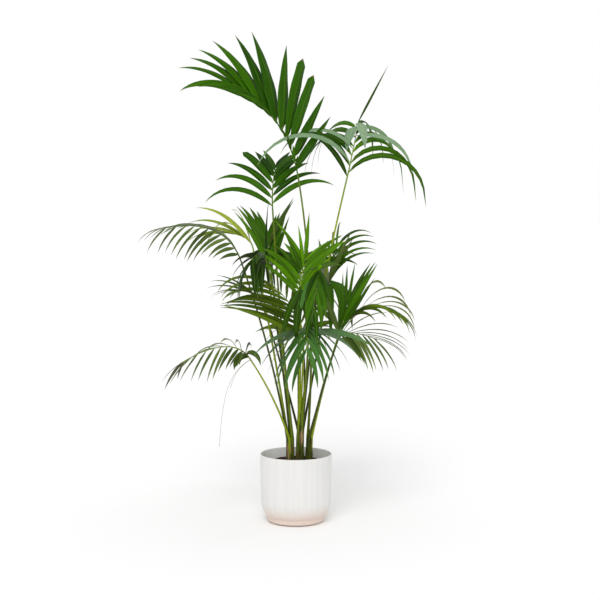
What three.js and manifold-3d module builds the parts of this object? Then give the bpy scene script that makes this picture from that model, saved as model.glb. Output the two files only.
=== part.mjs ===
// Kentia palm (Howea forsteriana) in a round white pot.
// Millimetres, +Z up, origin at the centre of the pot's flat underside.
// Four palms from one root ball stand in the pot. Each palm is a short stem that bears
// long bare stalks, and each stalk ends in one frond: a rib with two rows of leaflets.
import * as THREE from "three";
import Module from "manifold-3d";

const wasm = await Module();
wasm.setup();

// Pot: thin plastic, nearly upright wall, rounded foot.
const RIM_RADIUS = 130;
const POT_HEIGHT = 247;
const FOOT_RADIUS = 88;
const WALL = 3.2;
const FLOOR = 5;
const ROUNDS = 40;
// Potting mix: a flat crown round the stems, falling towards the wall.
const SOIL_CROWN = 225;
const SOIL_EDGE = 197;
const CROWN_RADIUS = 74;
// Clear gap between any two pieces.
const GAP = 0.3;
// Stalks and ribs.
const STALK_FOOT = 4.4;
const STALK_NECK = 3.0;
const RIB_FOOT = 2.9;
const RIB_TIP = 1.1;
const STALK_SIDES = 6;
const STALK_STEPS = 7;
const RIB_SIDES = 4;
const RIB_STEPS = 7;
// Leaflets: steps along a leaflet's midline, and the steps that carry a section.
const LEAF_STEPS = 48;
const LEAF_SECTIONS = [0, 10, 22, 35, 48];
const BLUNT_SECTIONS = [0, 10, 22, 44, 48];
const BLUNT_SHARE = 0.62;
const LEAF_FOLD = 0.3;
const LEAF_ROOT = 0.6;
const LEAF_THICKNESS = 0.011;
// A leaflet is at least this many times as long as it is wide.
const LEAF_SLIM = 6;
// A leaflet's turn about its own length, so that neighbours lie like louvres.
const LOUVRE = 20;
const SPEAR_RADIUS = 11.5;

// The four short stems: centre at the potting mix, centre at the top, radii. Their stalks
// stand on a ring of the given radius, the first of them at the bearing called turn.
const STEMS = {
  left: {
    foot: [-20, 2], top: [-21, 2, 300], footRadius: 15, topRadius: 14.6,
    turn: -160, ring: 9.8,
  },
  middle: {
    foot: [13, -10], top: [19, -11, 400], footRadius: 15.5, topRadius: 13.2,
    turn: 155, ring: 8.4,
  },
  right: {
    foot: [47, 7], top: [50, 8, 305], footRadius: 14, topRadius: 12,
    turn: -110, ring: 7.2,
  },
  back: {
    foot: [16, 36], top: [17, 40, 310], footRadius: 14, topRadius: 12,
    turn: -45, ring: 7.2,
  },
};
// The fronds. A stalk stands on its stem, bends over its knee to the collar, and the rib runs
// on from there, over an arch of the given reach, to its tip. Heading is the compass of the
// frond's lie and roll its turn about the rib, in degrees. The right and left rows of leaflets
// each have lists of three values, at the collar, half way and at the tip: open is their
// angle to the rib, lift their rise out of the frond's plane, droop how far they turn over,
// length their length. Width is the leaflets' width, and late says how near a leaflet's point
// the droop sets in. A leaflet listed as blunt, by its number, has lost its point.
const FRONDS = [
  {
    name: "top_left", stem: "right", slot: "leaf_mid",
    knee: [80, 40, 805], collar: [10, 30, 1240], reach: 230, tip: [-205, -30, 1560],
    heading: 180, roll: -68, pairs: 11, width: [48, 66, 22], late: 1.8,
    right: {
      open: [56, 28, 4], lift: [5, 5, 0], droop: [0, 10, 50], length: [200, 335, 240],
    },
    left: {
      open: [45, 12, 14], lift: [90, 70, 10], droop: [10, 20, 60], length: [80, 50, 290],
    },
    blunt: [4, 6],
  },
  {
    name: "top_right", stem: "middle", slot: "leaf_mid",
    knee: [80, 10, 805], collar: [180, 30, 1225], reach: 130, tip: [230, 170, 1455],
    heading: 80, roll: 0, pairs: 6, width: [18, 24, 22], late: 1,
    right: {
      open: [26, 20, 12], lift: [10, 10, 10], droop: [165, 165, 155], length: [430, 390, 220],
    },
    left: {
      open: [28, 36, 40], lift: [5, 0, 5], droop: [35, 125, 140], length: [245, 460, 300],
    },
  },
  {
    name: "mid_left", stem: "left", slot: "leaf_deep",
    knee: [-60, 50, 730], collar: [-85, 95, 1125], reach: 100, tip: [-75, 230, 1300],
    heading: 88, roll: 0, pairs: 6, width: [17, 26, 30], late: 1.5,
    right: {
      open: [50, 34, 14], lift: [5, 5, 5], droop: [100, 30, 0], length: [290, 190, 120],
    },
    left: {
      open: [50, 34, 20], lift: [5, 5, 5], droop: [115, 25, 0], length: [300, 225, 130],
    },
    blunt: [7, 8],
  },
  {
    name: "upright_left", stem: "left", slot: "leaf_deep",
    knee: [-55, 70, 620], collar: [-90, 95, 890], reach: 80, tip: [-105, 180, 1035],
    heading: 100, roll: 0, pairs: 5, width: [22, 28, 22], late: 1.8,
    right: {
      open: [26, 22, 16], lift: [15, 15, 15], droop: [0, 5, 5], length: [220, 190, 130],
    },
    left: {
      open: [22, 16, 10], lift: [15, 15, 15], droop: [20, 30, 10], length: [270, 240, 150],
    },
  },
  {
    name: "far_left", stem: "left", slot: "leaf_dusty",
    knee: [-85, -40, 630], collar: [-195, -60, 950], reach: 170, tip: [-480, -120, 1065],
    heading: 190, roll: 0, pairs: 12, width: [14, 13, 9], late: 1.5,
    right: {
      open: [28, 24, 20], lift: [10, 5, 0], droop: [60, 60, 50], length: [130, 190, 110],
    },
    left: {
      open: [70, 60, 40], lift: [-50, -45, -35], droop: [35, 40, 30], length: [85, 190, 120],
    },
  },
  {
    name: "light_left", stem: "left", slot: "leaf_bright",
    knee: [-90, 90, 690], collar: [-160, 120, 995], reach: 60, tip: [-320, 240, 1045],
    heading: 145, roll: 0, pairs: 6, width: [18, 20, 16], late: 1.8,
    right: {
      open: [22, 15, 8], lift: [5, 5, 0], droop: [60, 65, 55], length: [270, 260, 180],
    },
    left: {
      open: [22, 15, 8], lift: [5, 5, 0], droop: [60, 65, 55], length: [270, 260, 180],
    },
  },
  {
    name: "hanging_left", stem: "left", slot: "leaf_deep",
    knee: [-45, -50, 700], collar: [-105, -90, 960], reach: 45, tip: [-160, -180, 950],
    heading: 225, roll: 0, pairs: 6, width: [24, 30, 22], late: 1.8,
    right: {
      open: [55, 40, 25], lift: [-55, -55, -50], droop: [65, 65, 60], length: [110, 190, 160],
    },
    left: {
      open: [60, 45, 30], lift: [-50, -50, -45], droop: [50, 50, 50], length: [150, 200, 160],
    },
  },
  {
    name: "centre", stem: "middle", slot: "leaf_bright",
    knee: [20, -75, 670], collar: [15, -130, 815], reach: 70, tip: [35, -20, 960],
    heading: 80, roll: 0, pairs: 7, width: [18, 23, 17], late: 1.8,
    right: {
      open: [28, 34, 28], lift: [0, 5, 5], droop: [20, 20, 15], length: [175, 235, 220],
    },
    left: {
      open: [42, 38, 22], lift: [0, 5, 5], droop: [35, 25, 10], length: [200, 220, 150],
    },
  },
  {
    name: "back_right", stem: "back", slot: "leaf_mid",
    knee: [90, 80, 655], collar: [115, 140, 840], reach: 80, tip: [160, 220, 1005],
    heading: 60, roll: 0, pairs: 5, width: [12, 15, 11], late: 1.6,
    right: {
      open: [34, 34, 22], lift: [20, 20, 20], droop: [75, 85, 90], length: [230, 220, 150],
    },
    left: {
      open: [34, 16, 10], lift: [20, 20, 20], droop: [60, 75, 85], length: [140, 190, 230],
    },
  },
  {
    name: "upright_right", stem: "right", slot: "leaf_mid",
    knee: [110, -20, 545], collar: [150, -30, 670], reach: 75, tip: [195, 10, 810],
    heading: 60, roll: 0, pairs: 4, width: [22, 30, 20], late: 1.8,
    right: {
      open: [24, 18, 8], lift: [15, 15, 10], droop: [0, 5, 15], length: [210, 260, 150],
    },
    left: {
      open: [20, 14, 4], lift: [15, 15, 10], droop: [0, 5, 15], length: [160, 210, 170],
    },
  },
  {
    name: "far_right", stem: "right", slot: "leaf_mid",
    knee: [105, 20, 545], collar: [170, 30, 700], reach: 110, tip: [320, 60, 775],
    heading: 5, roll: 0, pairs: 8, width: [16, 22, 14], late: 1.6,
    right: {
      open: [50, 40, 25], lift: [0, -5, -10], droop: [80, 85, 70], length: [190, 225, 190],
    },
    left: {
      open: [50, 38, 22], lift: [50, 40, 25], droop: [95, 100, 85], length: [230, 320, 200],
    },
  },
  {
    name: "low_right", stem: "right", slot: "leaf_dusty",
    knee: [105, -30, 530], collar: [150, -60, 665], reach: 60, tip: [290, -90, 670],
    heading: -10, roll: 0, pairs: 9, width: [20, 24, 16], late: 1.6,
    right: {
      open: [80, 55, 30], lift: [-45, -40, -25], droop: [20, 40, 35], length: [160, 185, 150],
    },
    left: {
      open: [50, 30, 20], lift: [30, 20, 10], droop: [50, 55, 50], length: [150, 245, 160],
    },
  },
  {
    name: "low_left", stem: "left", slot: "leaf_dusty",
    knee: [-75, -44, 465], collar: [-165, -50, 600], reach: 110, tip: [-405, -90, 590],
    heading: 185, roll: 0, pairs: 10, width: [24, 16, 10], late: 1.5,
    right: {
      open: [75, 40, 20], lift: [65, 5, -15], droop: [130, 55, 25], length: [95, 145, 125],
    },
    left: {
      open: [80, 60, 22], lift: [-45, -50, -30], droop: [30, 25, 20], length: [55, 150, 120],
    },
    blunt: [1],
  },
  {
    name: "front", stem: "middle", slot: "leaf_dusty",
    knee: [40, -75, 550], collar: [45, -110, 685], reach: 100, tip: [35, -330, 650],
    heading: -90, roll: 0, pairs: 8, width: [24, 30, 22], late: 1.6,
    right: {
      open: [75, 60, 35], lift: [-28, -40, -48], droop: [50, 45, 30], length: [270, 250, 160],
    },
    left: {
      open: [75, 60, 35], lift: [-20, -38, -50], droop: [45, 40, 30], length: [260, 200, 150],
    },
  },
  {
    name: "back_left", stem: "back", slot: "leaf_dusty",
    knee: [-65, 90, 615], collar: [-125, 160, 775], reach: 60, tip: [-210, 240, 825],
    heading: 150, roll: 0, pairs: 5, width: [12, 13, 10], late: 1.6,
    right: {
      open: [36, 26, 14], lift: [0, 0, 0], droop: [45, 50, 50], length: [220, 230, 170],
    },
    left: {
      open: [36, 26, 14], lift: [0, 0, 0], droop: [45, 50, 50], length: [200, 200, 150],
    },
  },
  {
    name: "low_arc_left", stem: "middle", slot: "leaf_mid",
    knee: [24, -46, 490], collar: [28, -62, 655], reach: 110, tip: [-85, -60, 865],
    heading: 122, roll: 0, pairs: 9, width: [14, 17, 13], late: 1.6,
    right: {
      open: [40, 45, 46], lift: [10, 10, 10], droop: [10, 10, 25], length: [155, 150, 135],
    },
    left: {
      open: [60, 38, 8], lift: [-5, 0, 5], droop: [15, 50, 120], length: [380, 285, 235],
    },
  },
  {
    name: "back_high", stem: "back", slot: "leaf_deep",
    knee: [5, 120, 650], collar: [15, 220, 865], reach: 120, tip: [5, 430, 930],
    heading: 92, roll: 0, pairs: 8, width: [24, 28, 20], late: 1.6,
    right: {
      open: [55, 40, 20], lift: [15, 15, 15], droop: [70, 65, 50], length: [230, 270, 200],
    },
    left: {
      open: [55, 40, 20], lift: [15, 15, 15], droop: [70, 65, 50], length: [230, 270, 200],
    },
  },
  {
    name: "back_low", stem: "back", slot: "leaf_deep",
    knee: [40, 120, 510], collar: [25, 220, 640], reach: 80, tip: [25, 400, 640],
    heading: 88, roll: 0, pairs: 7, width: [24, 28, 20], late: 1.6,
    right: {
      open: [55, 40, 20], lift: [10, 10, 10], droop: [60, 60, 50], length: [200, 235, 180],
    },
    left: {
      open: [55, 40, 20], lift: [10, 10, 10], droop: [60, 60, 50], length: [200, 235, 180],
    },
  },
  {
    name: "front_high", stem: "middle", slot: "leaf_deep",
    knee: [65, -60, 730], collar: [80, -130, 915], reach: 60, tip: [55, -250, 745],
    heading: -95, roll: 0, pairs: 5, width: [22, 26, 18], late: 1.6,
    right: {
      open: [32, 22, 12], lift: [-20, -20, -20], droop: [50, 35, 20], length: [130, 150, 120],
    },
    left: {
      open: [36, 22, 12], lift: [-20, -20, -20], droop: [50, 35, 20], length: [140, 165, 120],
    },
  },
  {
    name: "spear", stem: "left", slot: "leaf_deep",
    knee: [-50, 10, 625], collar: [-90, 20, 820], reach: 150, tip: [-100, 25, 1150],
    heading: 180, roll: 0, pairs: 0, width: [0, 0, 0], late: 1.8,
  },
];

const radians = (degrees) => (degrees * Math.PI) / 180;
const vector = (row) => new THREE.Vector3(row[0], row[1], row[2]);

// Reads a short list of values, spread evenly from 0 to 1, at share.
function readAt(list, share) {
  const place = share * (list.length - 1);
  const low = Math.min(list.length - 2, Math.floor(place));
  return list[low] + (list[low + 1] - list[low]) * (place - low);
}

// A number from 0 to 1 that is always the same for the same frond, leaflet and use.
function chance(frond, leaf, use) {
  const value = Math.sin(frond * 12.9898 + leaf * 78.233 + use * 37.719) * 43758.5453;
  return value - Math.floor(value);
}

function facetSolid(points, faces) {
  const flat = new Float32Array(points.flatMap((p) => [p.x, p.y, p.z]));
  let solid = new wasm.Manifold(
    new wasm.Mesh({ numProp: 3, vertProperties: flat, triVerts: new Uint32Array(faces.flat()) }),
  );
  if (solid.volume() < 0) {
    const turned = faces.map((f) => [f[0], f[2], f[1]]);
    solid = new wasm.Manifold(
      new wasm.Mesh({ numProp: 3, vertProperties: flat, triVerts: new Uint32Array(turned.flat()) }),
    );
  }
  return solid;
}

// A closed skin over a row of rings. The last ring may be a single point.
function skin(rings) {
  const points = rings.flat();
  const count = rings[0].length;
  const faces = [];
  for (let side = 1; side < count - 1; side += 1) {
    faces.push([0, side + 1, side]);
  }
  for (let ring = 1; ring < rings.length; ring += 1) {
    const low = (ring - 1) * count;
    const high = ring * count;
    for (let side = 0; side < count; side += 1) {
      const next = (side + 1) % count;
      if (rings[ring].length === 1) {
        faces.push([low + side, low + next, high]);
      } else {
        faces.push([low + side, low + next, high + next]);
        faces.push([low + side, high + next, high + side]);
      }
    }
  }
  const last = (rings.length - 1) * count;
  if (rings[rings.length - 1].length > 1) {
    for (let side = 1; side < count - 1; side += 1) {
      faces.push([last, last + side, last + side + 1]);
    }
  }
  return facetSolid(points, faces);
}

function lathe(profile, segments) {
  const outline = profile.map((p) => new THREE.Vector2(p[0], p[1]));
  const shape = new THREE.LatheGeometry(outline, segments);
  shape.rotateX(Math.PI / 2);
  return shape;
}

// The grain of a frond: along the rib, to its right, and out of its upper face.
function frameAt(along, heading, roll) {
  const angle = radians(heading);
  const right = new THREE.Vector3(Math.sin(angle), -Math.cos(angle), 0);
  right.addScaledVector(along, -right.dot(along)).normalize();
  const up = new THREE.Vector3().crossVectors(right, along);
  right.applyAxisAngle(along, radians(roll));
  up.applyAxisAngle(along, radians(roll));
  return { along, right, up };
}

function ringAt(centre, frame, radius, sides) {
  const ring = [];
  for (let side = 0; side < sides; side += 1) {
    const angle = (side / sides) * 2 * Math.PI;
    ring.push(
      centre
        .clone()
        .addScaledVector(frame.right, Math.cos(angle) * radius)
        .addScaledVector(frame.up, Math.sin(angle) * radius),
    );
  }
  return ring;
}

function stemSolid(stem) {
  const foot = new THREE.Vector3(stem.foot[0], stem.foot[1], SOIL_CROWN + GAP);
  const top = vector(stem.top);
  const flare = [1.12, 1.03, 1, 1];
  const heights = [0, 0.12, 0.5, 1];
  const rings = heights.map((height, step) => {
    const centre = foot.clone().lerp(top, height);
    const ring = [];
    const radius = (stem.footRadius + (stem.topRadius - stem.footRadius) * height) * flare[step];
    for (let side = 0; side < 12; side += 1) {
      const angle = (side / 12) * 2 * Math.PI;
      ring.push(
        new THREE.Vector3(
          centre.x + Math.cos(angle) * radius,
          centre.y + Math.sin(angle) * radius,
          centre.z,
        ),
      );
    }
    return ring;
  });
  return skin(rings);
}

// The bearing of a frond's collar from the middle of its stem.
function bearingOf(row) {
  const top = STEMS[row.stem].top;
  return Math.atan2(row.collar[1] - top[1], row.collar[0] - top[0]);
}

// Where a stalk's foot stands on its stem: the stalks stand evenly round the stem's flat top,
// in the order of their collars' bearings, and a spear stands in the middle.
function seatOf(row) {
  const stem = STEMS[row.stem];
  const round = FRONDS.filter((other) => other.stem === row.stem && other.pairs > 0);
  const place = round.filter((other) => bearingOf(other) < bearingOf(row)).length;
  const angle = radians(stem.turn) + (place / round.length) * 2 * Math.PI;
  const ring = row.pairs > 0 ? stem.ring : 0;
  return new THREE.Vector3(
    stem.top[0] + Math.cos(angle) * ring,
    stem.top[1] + Math.sin(angle) * ring,
    stem.top[2] + GAP,
  );
}

function stalkCurve(row) {
  return new THREE.QuadraticBezierCurve3(seatOf(row), vector(row.knee), vector(row.collar));
}

function ribCurve(row) {
  const collar = vector(row.collar);
  const out = collar.clone().sub(vector(row.knee)).normalize();
  const arch = collar.clone().addScaledVector(out, row.reach);
  return new THREE.QuadraticBezierCurve3(collar, arch, vector(row.tip));
}

function stalkSolid(row, extra) {
  const curve = stalkCurve(row);
  const rings = [];
  for (let step = 0; step <= STALK_STEPS; step += 1) {
    const share = (step / STALK_STEPS) ** 1.3;
    const frame = frameAt(curve.getTangent(share), row.heading, 0);
    const centre = curve.getPoint(share);
    if (step === STALK_STEPS) {
      centre.addScaledVector(frame.along, extra > 0 ? 0.1 : -0.2);
    }
    const radius = STALK_FOOT + (STALK_NECK - STALK_FOOT) * share + extra;
    const ring = ringAt(centre, frame, radius, STALK_SIDES);
    if (step === 0) {
      ring.forEach((point) => {
        point.z = centre.z - extra;
      });
    }
    rings.push(ring);
  }
  return skin(rings);
}

function ribSolid(row) {
  const curve = ribCurve(row);
  const rings = [];
  for (let step = 0; step < RIB_STEPS; step += 1) {
    const share = step / RIB_STEPS;
    const frame = frameAt(curve.getTangent(share), row.heading, row.roll);
    const centre = curve.getPoint(share);
    if (step === 0) {
      centre.addScaledVector(frame.along, 0.15);
    }
    rings.push(ringAt(centre, frame, RIB_FOOT + (RIB_TIP - RIB_FOOT) * share, RIB_SIDES));
  }
  rings.push([curve.getPoint(1)]);
  return skin(rings);
}

// One leaflet: where it leaves the rib, how it turns over under its own weight, how wide it is.
function leaflet(row, number, change) {
  const pair = Math.floor(number / 2);
  const side = number % 2 === 0 ? 1 : -1;
  const own = side > 0 ? row.right : row.left;
  const luck = (use) => chance(FRONDS.indexOf(row) + 1, number, use) - 0.5;
  const step = (pair + 0.45 + 0.16 * side + 0.12 * luck(1)) / row.pairs;
  const share = Math.min(0.99, 0.05 + 0.94 * step);
  const curve = ribCurve(row);
  const frame = frameAt(curve.getTangent(share), row.heading, row.roll);
  const open = radians(readAt(own.open, share) + 4 * luck(2) + change.open);
  const lift = radians(readAt(own.lift, share) + 6 * luck(3) + change.lift);
  const outward = frame.right
    .clone()
    .multiplyScalar(Math.cos(lift) * side)
    .addScaledVector(frame.up, Math.sin(lift));
  const first = frame.along
    .clone()
    .multiplyScalar(Math.cos(open))
    .addScaledVector(outward, Math.sin(open));
  const face = frame.up.clone().addScaledVector(first, -frame.up.dot(first)).normalize();
  face.applyAxisAngle(first, radians(side * LOUVRE));
  const length = readAt(own.length, share) * (1 + 0.08 * luck(4)) * change.length;
  const width = Math.min(readAt(row.width, share) * (1 + 0.15 * luck(5)), length / LEAF_SLIM);
  const axis = new THREE.Vector3().crossVectors(first, new THREE.Vector3(0, 0, -1)).normalize();
  const room = Math.acos(Math.max(-1, Math.min(1, -first.z))) - 0.12;
  const fall = radians(readAt(own.droop, share)) * (1 + 0.15 * luck(6));
  const turnAt = (t) => Math.min(fall * t ** row.late, room);
  const points = [curve.getPoint(share)];
  for (let k = 0; k < LEAF_STEPS; k += 1) {
    const way = first.clone().applyAxisAngle(axis, turnAt((k + 0.5) / LEAF_STEPS));
    points.push(points[k].clone().addScaledVector(way, length / LEAF_STEPS));
  }
  const blunt = (row.blunt ?? []).includes(number);
  return { points, first, face, axis, turnAt, length, width, blunt };
}

function leafWidth(t) {
  if (t < 0.3) {
    return 0.3 + 0.7 * Math.sin((Math.PI / 2) * (t / 0.3));
  }
  return 1 - ((t - 0.3) / 0.7) ** 1.7;
}

// The leaflet as a thin folded blade, highest along its midline; pad grows it on every side.
function leafletSolid(leaf, pad) {
  const sections = leaf.blunt ? BLUNT_SECTIONS : LEAF_SECTIONS;
  const kept = leaf.blunt ? BLUNT_SHARE : 1;
  const rings = sections.map((k) => {
    const t = k / LEAF_STEPS;
    const way = leaf.first.clone().applyAxisAngle(leaf.axis, leaf.turnAt(t));
    const face = leaf.face.clone().applyAxisAngle(leaf.axis, leaf.turnAt(t));
    const across = new THREE.Vector3().crossVectors(way, face);
    const centre = leaf.points[k].clone();
    if (k === LEAF_STEPS) {
      return [centre.addScaledVector(way, pad * 4)];
    }
    const half = k === 0 ? LEAF_ROOT : (leaf.width / 2) * leafWidth(t * kept);
    const high = k === 0 ? LEAF_ROOT : Math.max(half * LEAF_FOLD, leaf.length * LEAF_THICKNESS);
    const low = centre.clone().addScaledVector(face, -1.3 * pad);
    return [
      low.clone().addScaledVector(across, -half - 7 * pad),
      low.clone().addScaledVector(across, half + 7 * pad),
      centre.clone().addScaledVector(face, high + 2.6 * pad),
    ];
  });
  return skin(rings);
}

function spearSolid(row) {
  const curve = ribCurve(row);
  const shares = [0, 0.06, 0.16, 0.32, 0.52, 0.74, 0.9];
  const girth = [0.32, 0.5, 0.8, 1, 0.92, 0.6, 0.28];
  const rings = shares.map((share, step) => {
    const frame = frameAt(curve.getTangent(share), row.heading, 0);
    const centre = curve.getPoint(share);
    if (step === 0) {
      centre.addScaledVector(frame.along, 0.15);
    }
    const ring = [];
    for (let side = 0; side < 10; side += 1) {
      const angle = (side / 10) * 2 * Math.PI;
      ring.push(
        centre
          .clone()
          .addScaledVector(frame.right, Math.cos(angle) * SPEAR_RADIUS * girth[step])
          .addScaledVector(frame.up, Math.sin(angle) * SPEAR_RADIUS * girth[step] * 0.55),
      );
    }
    return ring;
  });
  rings.push([curve.getPoint(1)]);
  return skin(rings);
}

function largest(solid) {
  const pieces = solid.decompose().sort((a, b) => b.volume() - a.volume());
  return pieces[0];
}

function overlaps(a, b) {
  const p = a.boundingBox();
  const q = b.boundingBox();
  for (let k = 0; k < 3; k += 1) {
    if (p.max[k] < q.min[k] || q.max[k] < p.min[k]) {
      return false;
    }
  }
  return a.intersect(b).volume() > 1e-6;
}

const MATERIALS = {
  pot_plastic: { color: "#e9e8e5", roughness: 0.55 },
  potting_mix: { color: "#3b271d", roughness: 1 },
  stem_sheath: { color: "#6a5a34", roughness: 0.85 },
  stalk_green: { color: "#6f8820", roughness: 0.5 },
  leaf_deep: { color: "#245214", roughness: 0.45 },
  leaf_mid: { color: "#3a7a1e", roughness: 0.45 },
  leaf_bright: { color: "#5f9a14", roughness: 0.45 },
  leaf_dusty: { color: "#5a7a52", roughness: 0.55 },
};
for (const [name, look] of Object.entries(MATERIALS)) {
  MATERIALS[name] = new THREE.MeshStandardMaterial({ ...look, metalness: 0 });
  MATERIALS[name].name = name;
}

const plant = new THREE.Group();
plant.name = "kentia_palm";

function place(name, geometry, slot) {
  const mesh = new THREE.Mesh(geometry, MATERIALS[slot]);
  mesh.name = name;
  plant.add(mesh);
}

function placeSolid(name, solid, slot) {
  const made = solid.getMesh();
  const geometry = new THREE.BufferGeometry();
  geometry.setAttribute("position", new THREE.BufferAttribute(made.vertProperties, 3));
  geometry.setIndex(new THREE.BufferAttribute(made.triVerts, 1));
  geometry.computeVertexNormals();
  place(name, geometry, slot);
}

const inside = RIM_RADIUS - WALL;
const potProfile = [
  [0, 0],
  [FOOT_RADIUS, 0],
  [FOOT_RADIUS + 14, 4],
  [FOOT_RADIUS + 17, 20],
  [FOOT_RADIUS + 30, 40],
  [FOOT_RADIUS + 37.5, 64],
  [RIM_RADIUS - 1.8, 100],
  [RIM_RADIUS, POT_HEIGHT - 3],
  [RIM_RADIUS - 1, POT_HEIGHT],
  [inside + 1, POT_HEIGHT],
  [inside, POT_HEIGHT - 3],
  [inside - 1.8, 100],
  [FOOT_RADIUS + 34, 64.6],
  [FOOT_RADIUS + 27, 41.6],
  [FOOT_RADIUS + 13.6, 21.4],
  [FOOT_RADIUS + 11, 7.6],
  [FOOT_RADIUS, FLOOR],
  [0, FLOOR],
];
place("pot", lathe(potProfile, ROUNDS), "pot_plastic");

const soilProfile = [
  [0, FLOOR + GAP],
  [FOOT_RADIUS - 0.5, FLOOR + GAP],
  [FOOT_RADIUS + 10.6, 8],
  [FOOT_RADIUS + 13.2, 21.7],
  [FOOT_RADIUS + 26.6, 41.8],
  [FOOT_RADIUS + 33.6, 64.8],
  [inside - 2.2, 100],
  [inside - 1.2, SOIL_EDGE],
  [CROWN_RADIUS + 22, SOIL_CROWN - 9],
  [CROWN_RADIUS, SOIL_CROWN],
  [0, SOIL_CROWN],
];
place("soil", lathe(soilProfile, ROUNDS), "potting_mix");

const still = [];
for (const [name, stem] of Object.entries(STEMS)) {
  const solid = stemSolid(stem);
  placeSolid(`stem_${name}`, solid, "stem_sheath");
  still.push(solid);
}
for (const row of FRONDS) {
  const solid = stalkSolid(row, 0);
  placeSolid(`stalk_${row.name}`, solid, "stalk_green");
  row.stalk = solid;
  still.push(solid);
}
for (const row of FRONDS) {
  row.rib = row.pairs > 0 ? ribSolid(row) : spearSolid(row);
}

// A leaflet that would touch another frond is lifted, turned or shortened; if nothing
// helps it is left out.
const CHANGES = [
  { lift: 0, open: 0, length: 1 },
  { lift: 12, open: 0, length: 1 },
  { lift: -12, open: 0, length: 1 },
  { lift: 0, open: 10, length: 1 },
  { lift: 0, open: -10, length: 1 },
  { lift: 22, open: 6, length: 1 },
  { lift: -22, open: -6, length: 1 },
  { lift: 12, open: 10, length: 0.9 },
  { lift: -12, open: -10, length: 0.9 },
  { lift: 0, open: 0, length: 0.75 },
  { lift: 14, open: 0, length: 0.7 },
  { lift: -14, open: 0, length: 0.7 },
  { lift: 0, open: 0, length: 0.55 },
];

const placed = [];
FRONDS.forEach((row, index) => {
  if (row.pairs === 0) {
    placeSolid(row.name, row.rib, row.slot);
    return;
  }
  const others = FRONDS.filter((other) => other !== row).map((other) => other.rib);
  const limbs = still.filter((solid) => solid !== row.stalk).concat(others);
  const leaves = [];
  for (let number = 0; number < row.pairs * 2; number += 1) {
    for (const change of CHANGES) {
      const leaf = leaflet(row, number, change);
      const wide = leafletSolid(leaf, 0.35);
      const blocked = limbs.some((other) => overlaps(wide, other))
        || placed.some((other) => other.frond !== index && overlaps(wide, other.solid));
      if (!blocked) {
        leaves.push(leafletSolid(leaf, 0));
        placed.push({ frond: index, solid: leaves[leaves.length - 1] });
        break;
      }
    }
  }
  const whole = wasm.Manifold.union([row.rib, ...leaves]);
  const clear = whole.subtract(stalkSolid(row, GAP));
  placeSolid(`frond_${row.name}`, largest(clear), row.slot);
});

export default plant;
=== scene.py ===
# %% [markdown]
# # A kentia palm in a round white pot
# Four young palms grow from one root ball. Each is a short stem wrapped in old leaf bases,
# and from it rise long bare stalks, each with one frond: a rib with two rows of leaflets.
# The construction is already there as plain solids. This lesson dresses them: every solid
# gets a finer surface in the same place, worked out from the same few sizes.

# %% Load the frame
import math

import bpy
import numpy as np
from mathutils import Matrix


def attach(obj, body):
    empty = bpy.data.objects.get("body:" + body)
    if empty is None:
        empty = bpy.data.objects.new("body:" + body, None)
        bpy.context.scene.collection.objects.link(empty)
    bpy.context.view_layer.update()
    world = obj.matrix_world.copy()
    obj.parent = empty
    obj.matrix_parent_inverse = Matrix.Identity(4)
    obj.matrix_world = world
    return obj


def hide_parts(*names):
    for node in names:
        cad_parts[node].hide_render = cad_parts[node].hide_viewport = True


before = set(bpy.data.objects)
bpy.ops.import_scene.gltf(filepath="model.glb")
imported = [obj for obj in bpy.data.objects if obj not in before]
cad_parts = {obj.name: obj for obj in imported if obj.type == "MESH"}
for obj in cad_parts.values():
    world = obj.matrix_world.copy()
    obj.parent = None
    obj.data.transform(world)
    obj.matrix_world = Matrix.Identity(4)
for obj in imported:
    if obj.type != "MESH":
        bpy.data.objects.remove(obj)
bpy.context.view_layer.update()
MM = 0.001
print(len(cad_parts), "solids to dress")

# %% [markdown]
# ## The plant's sizes
# Every size is in millimetres, as a grower would measure it. A stem is given by its foot,
# top and radii, and its stalks stand on a ring, the first at the bearing turn. A stalk bends
# over its knee to the collar, and the rib runs on over an arch of the given reach to its tip.
# Heading is the frond's compass and roll its turn about the rib. Pairs is how many leaflets
# each side has. Lists of three values are read at the collar, half way and at the tip: width
# is the leaflets' width, and in the right and left rows open is their angle to the rib, lift
# their rise out of the frond's plane, droop how far they turn over, length their length. Late
# says how near a leaflet's point the droop sets in. A blunt leaflet, told by its number, has
# lost its point, and slim is how much narrower than in the plain solids all of them are.
# Tint and stalk name the greens of blade and stalk, and slot the plain frond's finish.


# %% Sizes of stems and fronds
def leaf_row(opening, lift, droop, length):
    """One row of leaflets, each list read at the collar, half way and at the tip."""
    return {"open": opening, "lift": lift, "droop": droop, "length": length}


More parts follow.
